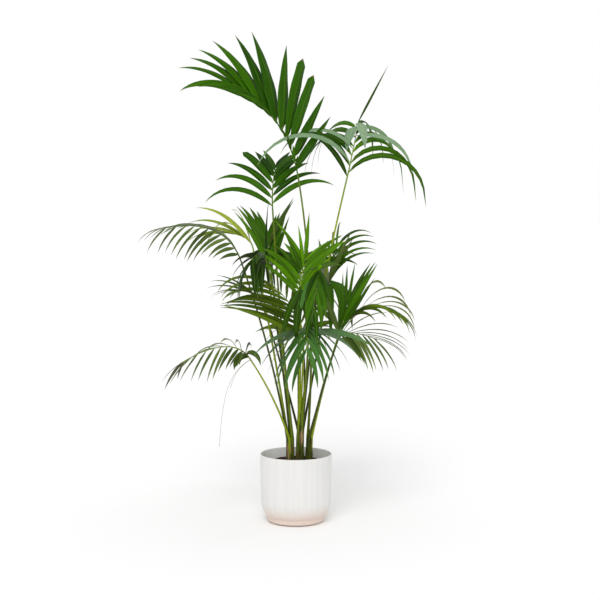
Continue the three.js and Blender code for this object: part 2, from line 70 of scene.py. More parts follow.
STEMS = {
    "left": dict(foot=(-20, 2), top=(-21, 2, 300), radii=(15, 14.6), turn=-160, ring=9.8),
    "middle": dict(foot=(13, -10), top=(19, -11, 400), radii=(15.5, 13.2), turn=155, ring=8.4),
    "right": dict(foot=(47, 7), top=(50, 8, 305), radii=(14, 12), turn=-110, ring=7.2),
    "back": dict(foot=(16, 36), top=(17, 40, 310), radii=(14, 12), turn=-45, ring=7.2),
}
FRONDS = [
    dict(name="top_left", stem="right", slot="leaf_mid", tint="top", stalk="green",
         knee=(80, 40, 805), collar=(10, 30, 1240), reach=230, tip=(-205, -30, 1560),
         heading=180, roll=-68, pairs=11, width=(48, 66, 22), late=1.8, blunt=[4, 6],
         right=leaf_row((56, 28, 4), (5, 5, 0), (0, 10, 50), (200, 335, 240)),
         left=leaf_row((45, 12, 14), (90, 70, 10), (10, 20, 60), (80, 50, 290))),
    dict(name="top_right", stem="middle", slot="leaf_mid", tint="mid", stalk="yellow",
         knee=(80, 10, 805), collar=(180, 30, 1225), reach=130, tip=(230, 170, 1455),
         heading=80, roll=0, pairs=6, width=(18, 24, 22), late=1,
         right=leaf_row((26, 20, 12), (10, 10, 10), (165, 165, 155), (430, 390, 220)),
         left=leaf_row((28, 36, 40), (5, 0, 5), (35, 125, 140), (245, 460, 300))),
    dict(name="mid_left", stem="left", slot="leaf_deep", tint="top", stalk="green",
         knee=(-60, 50, 730), collar=(-85, 95, 1125), reach=100, tip=(-75, 230, 1300),
         heading=88, roll=0, pairs=6, width=(17, 26, 30), late=1.5, blunt=[7, 8],
         right=leaf_row((50, 34, 14), (5, 5, 5), (100, 30, 0), (290, 190, 120)),
         left=leaf_row((50, 34, 20), (5, 5, 5), (115, 25, 0), (300, 225, 130))),
    dict(name="upright_left", stem="left", slot="leaf_deep", tint="mid", stalk="green",
         knee=(-55, 70, 620), collar=(-90, 95, 890), reach=80, tip=(-105, 180, 1035),
         heading=100, roll=0, pairs=5, width=(22, 28, 22), late=1.8, slim=0.85,
         right=leaf_row((26, 22, 16), (15, 15, 15), (0, 5, 5), (220, 190, 130)),
         left=leaf_row((22, 16, 10), (15, 15, 15), (20, 30, 10), (270, 240, 150))),
    dict(name="far_left", stem="left", slot="leaf_dusty", tint="grey_and_sheen", stalk="dark",
         knee=(-85, -40, 630), collar=(-195, -60, 950), reach=170, tip=(-480, -120, 1065),
         heading=190, roll=0, pairs=12, width=(14, 13, 9), late=1.5,
         right=leaf_row((28, 24, 20), (10, 5, 0), (60, 60, 50), (130, 190, 110)),
         left=leaf_row((70, 60, 40), (-50, -45, -35), (35, 40, 30), (85, 190, 120))),
    dict(name="light_left", stem="left", slot="leaf_bright", tint="lime", stalk="yellow",
         knee=(-90, 90, 690), collar=(-160, 120, 995), reach=60, tip=(-320, 240, 1045),
         heading=145, roll=0, pairs=6, width=(18, 20, 16), late=1.8,
         right=leaf_row((22, 15, 8), (5, 5, 0), (60, 65, 55), (270, 260, 180)),
         left=leaf_row((22, 15, 8), (5, 5, 0), (60, 65, 55), (270, 260, 180))),
    dict(name="hanging_left", stem="left", slot="leaf_deep", tint="deep", stalk="green",
         knee=(-45, -50, 700), collar=(-105, -90, 960), reach=45, tip=(-160, -180, 950),
         heading=225, roll=0, pairs=6, width=(24, 30, 22), late=1.8,
         right=leaf_row((55, 40, 25), (-55, -55, -50), (65, 65, 60), (110, 190, 160)),
         left=leaf_row((60, 45, 30), (-50, -50, -45), (50, 50, 50), (150, 200, 160))),
    dict(name="centre", stem="middle", slot="leaf_bright", tint="fresh", stalk="yellow",
         knee=(20, -75, 670), collar=(15, -130, 815), reach=70, tip=(35, -20, 960),
         heading=80, roll=0, pairs=7, width=(18, 23, 17), late=1.8,
         right=leaf_row((28, 34, 28), (0, 5, 5), (20, 20, 15), (175, 235, 220)),
         left=leaf_row((42, 38, 22), (0, 5, 5), (35, 25, 10), (200, 220, 150))),
    dict(name="back_right", stem="back", slot="leaf_mid", tint="mid", stalk="dark",
         knee=(90, 80, 655), collar=(115, 140, 840), reach=80, tip=(160, 220, 1005),
         heading=60, roll=0, pairs=5, width=(12, 15, 11), late=1.6,
         right=leaf_row((34, 34, 22), (20, 20, 20), (75, 85, 90), (230, 220, 150)),
         left=leaf_row((34, 16, 10), (20, 20, 20), (60, 75, 85), (140, 190, 230))),
    dict(name="upright_right", stem="right", slot="leaf_mid", tint="mid", stalk="yellow",
         knee=(110, -20, 545), collar=(150, -30, 670), reach=75, tip=(195, 10, 810),
         heading=60, roll=0, pairs=4, width=(22, 30, 20), late=1.8, slim=0.7,
         right=leaf_row((24, 18, 8), (15, 15, 10), (0, 5, 15), (210, 260, 150)),
         left=leaf_row((20, 14, 4), (15, 15, 10), (0, 5, 15), (160, 210, 170))),
    dict(name="far_right", stem="right", slot="leaf_mid", tint="olive", stalk="green",
         knee=(105, 20, 545), collar=(170, 30, 700), reach=110, tip=(320, 60, 775),
         heading=5, roll=0, pairs=8, width=(16, 22, 14), late=1.6, slim=0.85,
         right=leaf_row((50, 40, 25), (0, -5, -10), (80, 85, 70), (190, 225, 190)),
         left=leaf_row((50, 38, 22), (50, 40, 25), (95, 100, 85), (230, 320, 200))),
    dict(name="low_right", stem="right", slot="leaf_dusty", tint="grey_and_sheen", stalk="dark",
         knee=(105, -30, 530), collar=(150, -60, 665), reach=60, tip=(290, -90, 670),
         heading=-10, roll=0, pairs=9, width=(20, 24, 16), late=1.6, slim=0.62,
         right=leaf_row((80, 55, 30), (-45, -40, -25), (20, 40, 35), (160, 185, 150)),
         left=leaf_row((50, 30, 20), (30, 20, 10), (50, 55, 50), (150, 245, 160))),
    dict(name="low_left", stem="left", slot="leaf_dusty", tint="grey_and_sheen", stalk="yellow",
         knee=(-75, -44, 465), collar=(-165, -50, 600), reach=110, tip=(-405, -90, 590),
         heading=185, roll=0, pairs=10, width=(24, 16, 10), late=1.5, blunt=[1], slim=0.75,
         right=leaf_row((75, 40, 20), (65, 5, -15), (130, 55, 25), (95, 145, 125)),
         left=leaf_row((80, 60, 22), (-45, -50, -30), (30, 25, 20), (55, 150, 120))),
    dict(name="front", stem="middle", slot="leaf_dusty", tint="blue", stalk="green",
         knee=(40, -75, 550), collar=(45, -110, 685), reach=100, tip=(35, -330, 650),
         heading=-90, roll=0, pairs=8, width=(24, 30, 22), late=1.6,
         right=leaf_row((75, 60, 35), (-28, -40, -48), (50, 45, 30), (270, 250, 160)),
         left=leaf_row((75, 60, 35), (-20, -38, -50), (45, 40, 30), (260, 200, 150))),
    dict(name="back_left", stem="back", slot="leaf_dusty", tint="grey_and_sheen", stalk="dark",
         knee=(-65, 90, 615), collar=(-125, 160, 775), reach=60, tip=(-210, 240, 825),
         heading=150, roll=0, pairs=5, width=(12, 13, 10), late=1.6,
         right=leaf_row((36, 26, 14), (0, 0, 0), (45, 50, 50), (220, 230, 170)),
         left=leaf_row((36, 26, 14), (0, 0, 0), (45, 50, 50), (200, 200, 150))),
    dict(name="low_arc_left", stem="middle", slot="leaf_mid", tint="olive", stalk="yellow",
         knee=(24, -46, 490), collar=(28, -62, 655), reach=110, tip=(-85, -60, 865),
         heading=122, roll=0, pairs=9, width=(14, 17, 13), late=1.6,
         right=leaf_row((40, 45, 46), (10, 10, 10), (10, 10, 25), (155, 150, 135)),
         left=leaf_row((60, 38, 8), (-5, 0, 5), (15, 50, 120), (380, 285, 235))),
    dict(name="back_high", stem="back", slot="leaf_deep", tint="deep", stalk="green",
         knee=(5, 120, 650), collar=(15, 220, 865), reach=120, tip=(5, 430, 930),
         heading=92, roll=0, pairs=8, width=(24, 28, 20), late=1.6,
         right=leaf_row((55, 40, 20), (15, 15, 15), (70, 65, 50), (230, 270, 200)),
         left=leaf_row((55, 40, 20), (15, 15, 15), (70, 65, 50), (230, 270, 200))),
    dict(name="back_low", stem="back", slot="leaf_deep", tint="olive", stalk="dark",
         knee=(40, 120, 510), collar=(25, 220, 640), reach=80, tip=(25, 400, 640),
         heading=88, roll=0, pairs=7, width=(24, 28, 20), late=1.6,
         right=leaf_row((55, 40, 20), (10, 10, 10), (60, 60, 50), (200, 235, 180)),
         left=leaf_row((55, 40, 20), (10, 10, 10), (60, 60, 50), (200, 235, 180))),
    dict(name="front_high", stem="middle", slot="leaf_deep", tint="mid", stalk="dark",
         knee=(65, -60, 730), collar=(80, -130, 915), reach=60, tip=(55, -250, 745),
         heading=-95, roll=0, pairs=5, width=(22, 26, 18), late=1.6,
         right=leaf_row((32, 22, 12), (-20, -20, -20), (50, 35, 20), (130, 150, 120)),
         left=leaf_row((36, 22, 12), (-20, -20, -20), (50, 35, 20), (140, 165, 120))),
    dict(name="spear", stem="left", slot="leaf_deep", tint="deep", stalk="dark",
         knee=(-50, 10, 625), collar=(-90, 20, 820), reach=150, tip=(-100, 25, 1150),
         heading=180, roll=0, pairs=0, width=(0, 0, 0), late=1.8),
]
for number, row in enumerate(FRONDS, start=1):
    row["number"] = number
print(len(FRONDS), "fronds on", len(STEMS), "stems")

# %% [markdown]
# ## Colours and nodes
# Colours are written as sRGB hex, as a colour picker shows them, but a shader works with
# linear light, so one function turns one into the other. A second small function adds any
# shader node with its settings and links, so no kind of node needs a helper of its own.


# %% Colour and node helpers
def linear(code):
    """sRGB to linear: c/12.92 below 0.04045, otherwise ((c + 0.055) / 1.055) ** 2.4."""
    parts = np.array([int(code[k:k + 2], 16) for k in (1, 3, 5)]) / 255
    out = np.where(parts <= 0.04045, parts / 12.92, ((parts + 0.055) / 1.055) ** 2.4)
    return (*out.tolist(), 1.0)


def add_node(tree, kind, inputs=None, out=0, **settings):
    """Adds a node, sets its properties, links or sets each input by its name or number, and
    gives the output that out names. A hex colour is made linear on the way."""
    node = tree.nodes.new("ShaderNode" + kind)
    for name, value in settings.items():
        setattr(node, name, value)
    for key, value in (inputs or {}).items():
        if isinstance(value, bpy.types.NodeSocket):
            tree.links.new(value, node.inputs[key])
        else:
            node.inputs[key].default_value = linear(value) if isinstance(value, str) else value
    return node.outputs[out]


print("the grey #808080 is", round(linear("#808080")[0], 3), "in linear light")

# %% [markdown]
# ## What all skins share
# A plant's skin is one colour graded into another by something measured: soft noise, or how
# far along a leaflet a point lies. Marks that grew are drawn out lengthwise, so their noise
# is stretched. The finest relief is a bump, which costs no faces. The simplest skin shows
# the helpers at work: dry palm fibre, fully matt, which has bleached in blotches.


# %% Skin helpers, and the first skin
def new_material(name, roughness, ior, gloss=0.5):
    """An empty material whose one Principled shader has its even values set directly."""
    material = bpy.data.materials.new(name)
    material.use_nodes = True
    shader = material.node_tree.nodes["Principled BSDF"]
    shader.inputs["Roughness"].default_value = roughness
    shader.inputs["IOR"].default_value = ior
    shader.inputs["Specular IOR Level"].default_value = gloss
    return material, material.node_tree


def grade(tree, value, low, high, first, second, most=1):
    """first where value is at low, and the share most of second where it is at high."""
    inputs = {"Value": value, "From Min": low, "From Max": high, "To Max": most}
    share = add_node(tree, "MapRange", inputs, interpolation_type="SMOOTHSTEP")
    # a Mix node also mixes numbers and vectors: its colours are inputs 6 and 7 and output 2
    return add_node(tree, "Mix", {0: share, 6: first, 7: second}, 2, data_type="RGBA")


def marks(tree, place, sizes, detail):
    """Soft noise from 0 to 1, whose blotches have the three sizes, in mm, along place."""
    scale = [1 / (size * MM) for size in sizes]
    stretched = add_node(tree, "Mapping", {"Vector": place, "Scale": scale})
    return add_node(tree, "TexNoise", {"Vector": stretched, "Scale": 1, "Detail": detail})


def cover(tree, skin, strength=0, depth=0, height=None):
    """Joins the colour skin to the shader, and a relief whose full height is depth mm."""
    shader = tree.nodes["Principled BSDF"]
    tree.links.new(skin, shader.inputs["Base Color"])
    if height is not None:
        inputs = {"Strength": strength, "Distance": depth * MM, "Height": height}
        tree.links.new(add_node(tree, "Bump", inputs), shader.inputs["Normal"])


fibre_skin, fibre_tree = new_material("dry palm fibre", 0.8, 1.4)
blotch = marks(fibre_tree, add_node(fibre_tree, "TexCoord", out="Object"), (12, 12, 12), 2)
bleached = {0: blotch, 6: "#8c8474", 7: "#c4beb0"}
cover(fibre_tree, add_node(fibre_tree, "Mix", bleached, 2, data_type="RGBA"))
print(fibre_skin.name, "takes", len(fibre_tree.nodes), "nodes")

# %% [markdown]
# ## Greens
# A kentia's leaflet is leathery: a waxy skin over soft tissue, satin above and duller and
# paler below. Young fronds are yellow-green, old ones go grey. Each tint here holds the
# blade's darker and lighter green and its underside. The pale tint is painted sheen; the
# dusty tint's grey is partly old leaf and partly painted sheen, and the blue tint's blue-grey
# is partly painted sheen. The pattern follows the leaflet: fine lengthwise streaks, a paler
# midrib, and a dry brown point. Veins are 2.4 mm apart, which is coarser than the real 0.8 mm,
# so that they show at all from a few metres away.

# %% Leaflet skins
VEIN_SPACING = 2.4
MIDRIB_HALF = 1.4
MIDRIB_CORE = 0.3
# streaks across and along a leaflet, and how soon they change from one leaflet to the next
STREAK_SIZES = (3, 90, 25)
# each side's two colours, by their place in the tint, its lean to the second, its roughness
SIDES = {"top": (0, 1, -0.55, 0.33), "below": (1, 2, -0.25, 0.58)}
TINTS = {
    "deep": ("#0c2000", "#2c4e02", "#4a5832"),
    "top": ("#163c00", "#3a6c02", "#42601a"),
    "mid": ("#143400", "#427204", "#60783c"),
    "fresh": ("#224400", "#609a02", "#648420"),
    "lime": ("#6a8418", "#b0be4c", "#acb66c"),
    # dusty: the grey-green of old leaves, and partly painted sheen on leaves facing up
    "grey_and_sheen": ("#22380c", "#627638", "#868f70"),
    # blue: its blue-grey is partly painted sheen, for glossy bluish highlights
    "blue": ("#163e10", "#4a7a34", "#74906a"),
    "olive": ("#263e02", "#627a18", "#748244"),
    # pale is painted sheen: the glare on upper faces of leaflets that catch the light
    "pale": ("#5c7c54", "#8aa484", "#a8bcaa"),
    "dry": ("#2e2a24", "#5c5448", "#6a6258"),
}


def blade_material(tint, side):
    """Satin leaf skin: two greens mixed by streaks and by leaflet, pale midrib, dry point."""
    first, second, lean, roughness = SIDES[side]
    material, tree = new_material(f"kentia leaf skin {tint} {side}", roughness, 1.4, 0.1)
    blade = add_node(tree, "UVMap", uv_map="Blade")
    across = add_node(tree, "SeparateXYZ", {0: blade}, "X")
    along = add_node(tree, "SeparateXYZ", {0: blade}, "Y")
    tone = add_node(tree, "Attribute", out="Fac", attribute_name="tone")
    share = add_node(tree, "Attribute", out="Fac", attribute_name="share")
    place = add_node(tree, "CombineXYZ", {0: across, 1: along, 2: tone})
    streak = marks(tree, place, STREAK_SIZES, 3)
    level = add_node(tree, "Math", {0: tone, 1: 0.8, 2: lean}, operation="MULTIPLY_ADD")
    level = add_node(tree, "Math", {0: streak, 1: 1.3, 2: level}, operation="MULTIPLY_ADD")
    greens = {0: level, 6: TINTS[tint][first], 7: TINTS[tint][second]}
    skin = add_node(tree, "Mix", greens, 2, data_type="RGBA")
    aside = add_node(tree, "Math", {0: across}, operation="ABSOLUTE")
    skin = grade(tree, aside, MIDRIB_HALF * MM, MIDRIB_CORE * MM, skin, "#8cae3c", 0.2)
    skin = grade(tree, share, 0.07, 0, skin, "#8da83c", 0.5)
    point = add_node(tree, "Math", {0: tone, 1: 0.05, 2: share}, operation="MULTIPLY_ADD")
    point = add_node(tree, "Math", {0: streak, 1: -0.03, 2: point}, operation="MULTIPLY_ADD")
    skin = grade(tree, point, 0.97, 1.002, skin, "#7a6a4a")
    turns = {0: across, 1: 2 * math.pi / (VEIN_SPACING * MM)}
    veins = add_node(tree, "Math", turns, operation="MULTIPLY")
    veins = add_node(tree, "Math", {0: veins}, operation="SINE")
    height = add_node(tree, "Math", {0: veins, 1: 0.4, 2: streak}, operation="MULTIPLY_ADD")
    cover(tree, skin, 0.8, 0.4, height)
    return material


blade_skins = {tint: [blade_material(tint, side) for side in SIDES] for tint in TINTS}
print(len(blade_skins), "leaf tints, each with an upper and a lower skin")

# %% [markdown]
# ## Curves and chance
# A stalk, a rib and a fibre each follow one quadratic curve, which three points tell. Curve
# objects would draw it too, but as arrays the places and directions are at hand for whatever
# grows there. No two leaflets are alike, and a hash of their numbers keeps each one's luck
# the same at every run.


# %% Curve helpers
def unit(vectors):
    """Each vector divided by its length."""
    return vectors / np.linalg.norm(vectors, axis=-1, keepdims=True)


def turn_about(vectors, axes, angles):
    """Turns vectors about unit axes: v cos + (axis x v) sin + axis (axis . v)(1 - cos)."""
    cosine = np.cos(angles)[..., None]
    sine = np.sin(angles)[..., None]
    lean = np.sum(axes * vectors, -1, keepdims=True)
    return vectors * cosine + np.cross(axes, vectors) * sine + axes * lean * (1 - cosine)


def curve(first, middle, last, share):
    """Places on the quadratic curve first (1-t)^2 + 2 middle t (1-t) + last t^2, and its
    directions there, (middle - first)(1-t) + (last - middle) t made unit."""
    t = np.asarray(share, float)[..., None]
    place = first * (1 - t) ** 2 + 2 * middle * t * (1 - t) + last * t * t
    return place, unit((middle - first) * (1 - t) + (last - middle) * t)


def chance(frond, leaf, use):
    """A number from 0 to 1 that stays the same for the same frond, leaflet and use."""
    value = np.sin(frond * 12.9898 + leaf * 78.233 + use * 37.719) * 43758.5453
    return value - np.floor(value)


def along_list(values, share):
    """Reads a short list of values, spread evenly from 0 to 1, at share."""
    return np.interp(share, np.linspace(0, 1, len(values)), values)


print("a quarter of the way along 0, 4, 12 is", along_list((0, 4, 12), 0.25))

# %% [markdown]
# ## Where the stalks stand
# Young stalks push up inside older ones, so at its top a stem is a ring of stalks. A list of
# seats would do, but a rule needs less: the stalks of a stem stand evenly round it, in the
# order of the bearings of their collars, and so none crosses another at its foot.


# %% Seats and the points of a frond
def bearing(row):
    """The bearing of a frond's collar from the middle of its stem."""
    top = STEMS[row["stem"]]["top"]
    return math.atan2(row["collar"][1] - top[1], row["collar"][0] - top[0])


def seat_offset(row):
    """From the stem's middle to the stalk's seat. The stalks stand evenly round the stem in
    the order of their collars' bearings, and a spear stands in the middle."""
    stem = STEMS[row["stem"]]
    others = [other for other in FRONDS if other["stem"] == row["stem"] and other["pairs"]]
    place = sum(bearing(other) < bearing(row) for other in others)
    angle = math.radians(stem["turn"]) + 2 * math.pi * place / len(others)
    ring = stem["ring"] if row["pairs"] else 0
    return ring * np.array([math.cos(angle), math.sin(angle), 0])


def frond_points(row):
    """The named points of one frond in metres: seat, knee, collar, arch and tip."""
    seat = np.array(STEMS[row["stem"]]["top"], float) + seat_offset(row)
    knee, collar, tip = (np.array(row[key], float) for key in ("knee", "collar", "tip"))
    arch = collar + unit(collar - knee) * row["reach"]
    return [point * MM for point in (seat, knee, collar, arch, tip)]


def rib(row, share):
    """Places along a frond's rib, from the collar (0) to the tip (1), and directions there."""
    return curve(*frond_points(row)[2:], share)


heights = [frond_points(row)[2][2] for row in FRONDS]
print("collars stand from", round(min(heights), 2), "to", round(max(heights), 2), "m high")

# %% [markdown]
# ## How a leaflet hangs
# A leaflet sets out stiffly, then turns over under its own weight, more and more towards its
# point. So its midline is a chain of short steps whose direction turns about a level axis.
# Cloth simulation would settle it too, but slowly, and this keeps to the plain solids, whose
# leaflets hang by the same rule.

# %% Draping
STEPS = 48
KEPT = np.arange(0, STEPS + 1, 4)
STATIONS = KEPT / STEPS
# a leaflet stops turning over this near to straight down, in radians
STRAIGHT_DOWN_GAP = 0.12


def drape(root, first, face, length, fall, late):
    """Walks each leaflet in short steps, turning by fall t^late about a level axis, and
    never past straight down. Gives points, directions and faces at the kept stations."""
    axis = unit(np.cross(first, np.array([0.0, 0.0, -1.0])))[:, None]
    room = np.arccos(np.clip(-first[:, 2], -1, 1)) - STRAIGHT_DOWN_GAP

    def turned(vectors, t):
        """The vectors turned over as far as each leaflet has by t."""
        over = np.minimum(fall[:, None] * t**late, room[:, None])
        return turn_about(vectors[:, None], axis, over)

    between = (np.arange(STEPS) + 0.5) / STEPS
    walked = np.cumsum(turned(first, between), 1) * (length / STEPS)[:, None, None]
    start = np.zeros((len(first), 1, 3))
    points = root[:, None] + np.concatenate([start, walked], 1)
    return points[:, KEPT], turned(first, STATIONS), turned(face, STATIONS)


forward, upward = np.array([[1.0, 0, 0]]), np.array([[0, 0, 1.0]])
trial = drape(0 * forward, forward, upward, np.array([400]), np.array([math.pi / 2]), 1.5)
print("400 mm of level leaflet, turned over by 90 degrees, hangs", round(-trial[0][0, -1, 2]), "mm")

# %% [markdown]
# ## Where the leaflets start
# Leaflets leave the rib in two rows, to its right and left, a little staggered, and mostly
# at an angle that closes towards the tip. They are louvred: like the slats of a blind, their
# faces lean back towards the frond's foot. The short lists of the sizes are read at each
# leaflet's share of the rib, and a little luck is added, because copies of one leaflet would
# look stamped.

# %% Midlines
# the share of the rib where leaflets start, the stretch that they take, and their last place
ROOTS_FROM = 0.05
ROOTS_SPAN = 0.94
ROOTS_TO = 0.99
# where a pair stands in its share of that stretch, and how far its two leaflets are staggered
PAIR_PLACE = 0.45
STAGGER = 0.16
LOUVRE = 20
LEAF_SLIM = 6
# the number of each draw of luck, and how far what it changes may spread
LUCK = {
    "place": (1, 0.12),
    "open": (2, 4),
    "lift": (3, 6),
    "length": (4, 0.08),
    "width": (5, 0.15),
    "fall": (6, 0.15),
}


def grain(along, heading, roll):
    """To the frond's right and out of its upper face, square to its direction along."""
    angle = math.radians(heading)
    level = np.array([math.sin(angle), -math.cos(angle), 0.0])
    right = unit(level - along * np.sum(along * level, -1, keepdims=True))
    up = np.cross(right, along)
    turn = np.full(along.shape[:-1], math.radians(roll))
    return turn_about(right, along, turn), turn_about(up, along, turn)


def leaflet_midlines(row):
    """The draped midlines, lengths and widths of one frond's leaflets. A leaflet starts along
    the direction along cos(open) + outward sin(open), where outward rises by lift."""
    leaf = np.arange(row["pairs"] * 2)
    side = np.where(leaf % 2 == 0, 1.0, -1.0)

    def luck(use):
        """Each leaflet's own luck in one thing, as often below zero as above."""
        draw, spread = LUCK[use]
        return (chance(row["number"], leaf, draw) - 0.5) * spread

    step = (leaf // 2 + PAIR_PLACE + STAGGER * side + luck("place")) / row["pairs"]
    share = np.minimum(ROOTS_TO, ROOTS_FROM + ROOTS_SPAN * step)

    def read(key):
        """The list of each leaflet's own side, read at its share of the rib."""
        right_value = along_list(row["right"][key], share)
        return np.where(side > 0, right_value, along_list(row["left"][key], share))

    root, along = rib(row, share)
    right, up = grain(along, row["heading"], row["roll"])
    opening = np.radians(read("open") + luck("open"))[:, None]
    lift = np.radians(read("lift") + luck("lift"))[:, None]
    outward = right * np.cos(lift) * side[:, None] + up * np.sin(lift)
    first = along * np.cos(opening) + outward * np.sin(opening)
    face = unit(up - first * np.sum(up * first, -1, keepdims=True))
    face = turn_about(face, first, side * math.radians(LOUVRE))
    length = read("length") * MM * (1 + luck("length"))
    width = along_list(row["width"], share) * MM * (1 + luck("width"))
    width = np.minimum(width, length / LEAF_SLIM) * row.get("slim", 1)
    fall = np.radians(read("droop")) * (1 + luck("fall"))
    return drape(root, first, face, length, fall, row["late"]), length, width


lengths = np.concatenate([leaflet_midlines(row)[1] for row in FRONDS if row["pairs"]])
print(len(lengths), "leaflets, up to", round(lengths.max() / MM), "mm long")

# %% [markdown]
# ## Meshes from arrays
# A surface here is a grid of points worked out as one array, turned into a mesh in one go.
# Writing each vertex in a Python loop would give the same shape far more slowly. A mesh may
# also carry numbers at its points, such as how far along a leaflet each one lies, and a
# material can then follow the surface wherever it bends.


# %% Mesh helpers
def build_piece(
    name, points, faces, materials, face_material=None, values=None, uv=None, edge=None
):
    """A mesh object at the origin, from an array of points in metres and lists of corners.
    values holds numbers per point, uv a pair per point, edge the angle past which it creases."""
    mesh = bpy.data.meshes.new(name)
    mesh.from_pydata(points.reshape(-1, 3), [], faces)
    for material in materials:
        mesh.materials.append(material)
    if face_material is not None:
        mesh.polygons.foreach_set("material_index", np.asarray(face_material, np.int32))
    mesh.polygons.foreach_set("use_smooth", np.ones(len(mesh.polygons), bool))
    for key, data in (values or {}).items():
        layer = mesh.attributes.new(key, "FLOAT", "POINT")
        layer.data.foreach_set("value", np.asarray(data, np.float32).ravel())
    if uv is not None:
        corner = np.zeros(len(mesh.loops), np.int32)
        mesh.loops.foreach_get("vertex_index", corner)
        layer = mesh.uv_layers.new(name="Blade")
        layer.data.foreach_set("uv", np.asarray(uv, np.float32).reshape(-1, 2)[corner].ravel())
    if edge is not None:
        mesh.set_sharp_from_angle(angle=math.radians(edge))
    mesh.update()
    piece = bpy.data.objects.new(name, mesh)
    bpy.context.scene.collection.objects.link(piece)
    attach(piece, "root")
    return piece


def ring_angles(sides):
    """The bearings of points spread evenly round a ring, in radians."""
    return np.arange(sides) / sides * 2 * np.pi


def ring_faces(rings, sides):
    """Quads of a tube of closed rings, each point joined to the next along and around."""
    along, around = np.meshgrid(np.arange(rings - 1), np.arange(sides), indexing="ij")
    here = along * sides + around
    beside = along * sides + (around + 1) % sides
    return np.stack([here, beside, beside + sides, here + sides], -1).reshape(-1, 4)


def tube_faces(rings, sides):
    """A closed tube: its quads, and one flat face at each end."""
    low = list(range(sides))[::-1]
    high = [(rings - 1) * sides + k for k in range(sides)]
    return ring_faces(rings, sides).tolist() + [low, high]


print(len(tube_faces(3, 8)), "faces close a tube of three rings of eight points")

# %% [markdown]
# ## The blade of a leaflet
# A leaflet is a long blade folded along its midrib like a shallow roof. It is a ring of four
# points at each station of its midline: two edges, the ridge, and one point under the ridge
# that gives it its thickness. Solidify on a strip would round the edges better, but this
# keeps each leaflet to some fifty faces, and there are hundreds of them.

# %% Points of a blade
BLADE_RING = 4
RING_SKINS = (0, 0, 1, 1)
RINGS = len(KEPT) - 1
BLADE_POINTS = RINGS * BLADE_RING + 1
ROOT_HALF = 1.2
ROOT_GIRTH = 0.3
WIDEST = 0.3
TAPER_POWER = 1.7
THICKNESS = 0.9
POINT_RISE = 0.1
# the ridge's height and the edges' ripple as shares of half the width, how unlike the folds
# are, how many ripples there are, and how much of fold and thickness is lost at the point
FOLD = 0.3
RIPPLE = 0.05
FOLD_SPREAD = 0.35
RIPPLES = 3
FOLD_LOSS = 0.4
THICKNESS_LOSS = 0.75


def blade_width(cut):
    """From a narrow root up by a quarter of a sine wave to the widest place, then a long
    taper, 1 - (share of the rest) ** 1.7. A cut blade stops at that share of its length."""
    t = STATIONS * cut[:, None]
    swell = ROOT_GIRTH + (1 - ROOT_GIRTH) * np.sin(np.pi / 2 * np.minimum(t / WIDEST, 1))
    taper = 1 - np.clip((t - WIDEST) / (1 - WIDEST), 0, 1) ** TAPER_POWER
    return np.where(t < WIDEST, swell, taper)


def blade_points(draped, half, seed):
    """Rings and the point. Over the midline, the ridge stands half the width times the fold,
    and the edges, one up and one down, half the width times a sine that runs along them."""
    points, way, face = draped
    leaf = np.arange(len(points))
    wave = STATIONS * RIPPLES + chance(seed, leaf, 8)[:, None]
    edge = half * (RIPPLE * np.sin(2 * np.pi * wave))
    unlike = 1 + FOLD_SPREAD * (chance(seed, leaf, 7)[:, None] - 0.5)
    ridge = half * FOLD * unlike * (1 - FOLD_LOSS * STATIONS)
    under = ridge - THICKNESS * MM * (1 - THICKNESS_LOSS * STATIONS)
    aside = half[..., None] * (-1, 0, 1, 0)
    above = np.stack([edge, ridge, -edge, under], -1)
    across = np.cross(way, face)
    ring = points[:, :, None] + across[:, :, None] * aside[..., None]
    ring = ring + face[:, :, None] * above[..., None]
    tips = points[:, -1:] + face[:, -1:] * POINT_RISE * MM
    return np.concatenate([ring[:, :RINGS].reshape(len(points), -1, 3), tips], 1)


print(BLADE_POINTS, "points a leaflet")


# %% Faces of a blade
def blade_faces(count):
    """Quads between the rings, triangles round each point, a quad at each root, and the skin
    of every face. Quads below start one corner on, so that both skins split the same way."""
    quads = ring_faces(RINGS, BLADE_RING)
    below = np.tile(RING_SKINS, RINGS - 1) == 1
    quads[below] = np.roll(quads[below], -1, 1)
    corner = np.arange(BLADE_RING)
    last = (RINGS - 1) * BLADE_RING
    point = np.full(BLADE_RING, RINGS * BLADE_RING)
    ends = np.stack([last + corner, last + (corner + 1) % BLADE_RING, point], -1)
    start = (np.arange(count) * BLADE_POINTS)[:, None, None]
    faces = (quads + start).reshape(-1, 4).tolist()
    faces += (ends + start).reshape(-1, 3).tolist()
    faces += (corner[::-1] + start[:, 0]).tolist()
    return faces, np.append(np.tile(RING_SKINS, count * RINGS), np.zeros(count, int))


def blades(name, draped, length, width, cut, seed, skins):
    """Closed folded blades along their draped midlines, all in one mesh."""
    count = len(length)
    half = blade_width(cut) * width[:, None] / 2
    half[:, 0] = ROOT_HALF * MM
    shares = np.append(np.repeat(STATIONS[:RINGS], BLADE_RING), 1.0)
    tone = chance(seed, np.arange(count), 9)
    values = {"share": np.tile(shares, count), "tone": np.repeat(tone, BLADE_POINTS)}
    u = (half[:, :RINGS, None] * (-1, 0, 1, 0)).reshape(count, -1)
    u = np.append(u, np.zeros((count, 1)), 1)
    v = length[:, None] * shares
    faces, face_skin = blade_faces(count)
    points = blade_points(draped, half, seed)
    uv = np.stack([u, v], -1)
    return build_piece(name, points, faces, skins, face_skin, values, uv, edge=60)


print(len(blade_faces(1)[0]), "faces a leaflet")

# %% [markdown]
# ## The fronds' leaflets
# Each frond's leaflets are one mesh in place of the plain frond, so that the plant stays a
# few dozen pieces. Joining them costs nothing here, since all blades of a frond are worked
# out together. A leaflet that has lost its point is cut off at a share of its taper.

# %% Leaflets of each frond
BLUNT_SHARE = 0.62


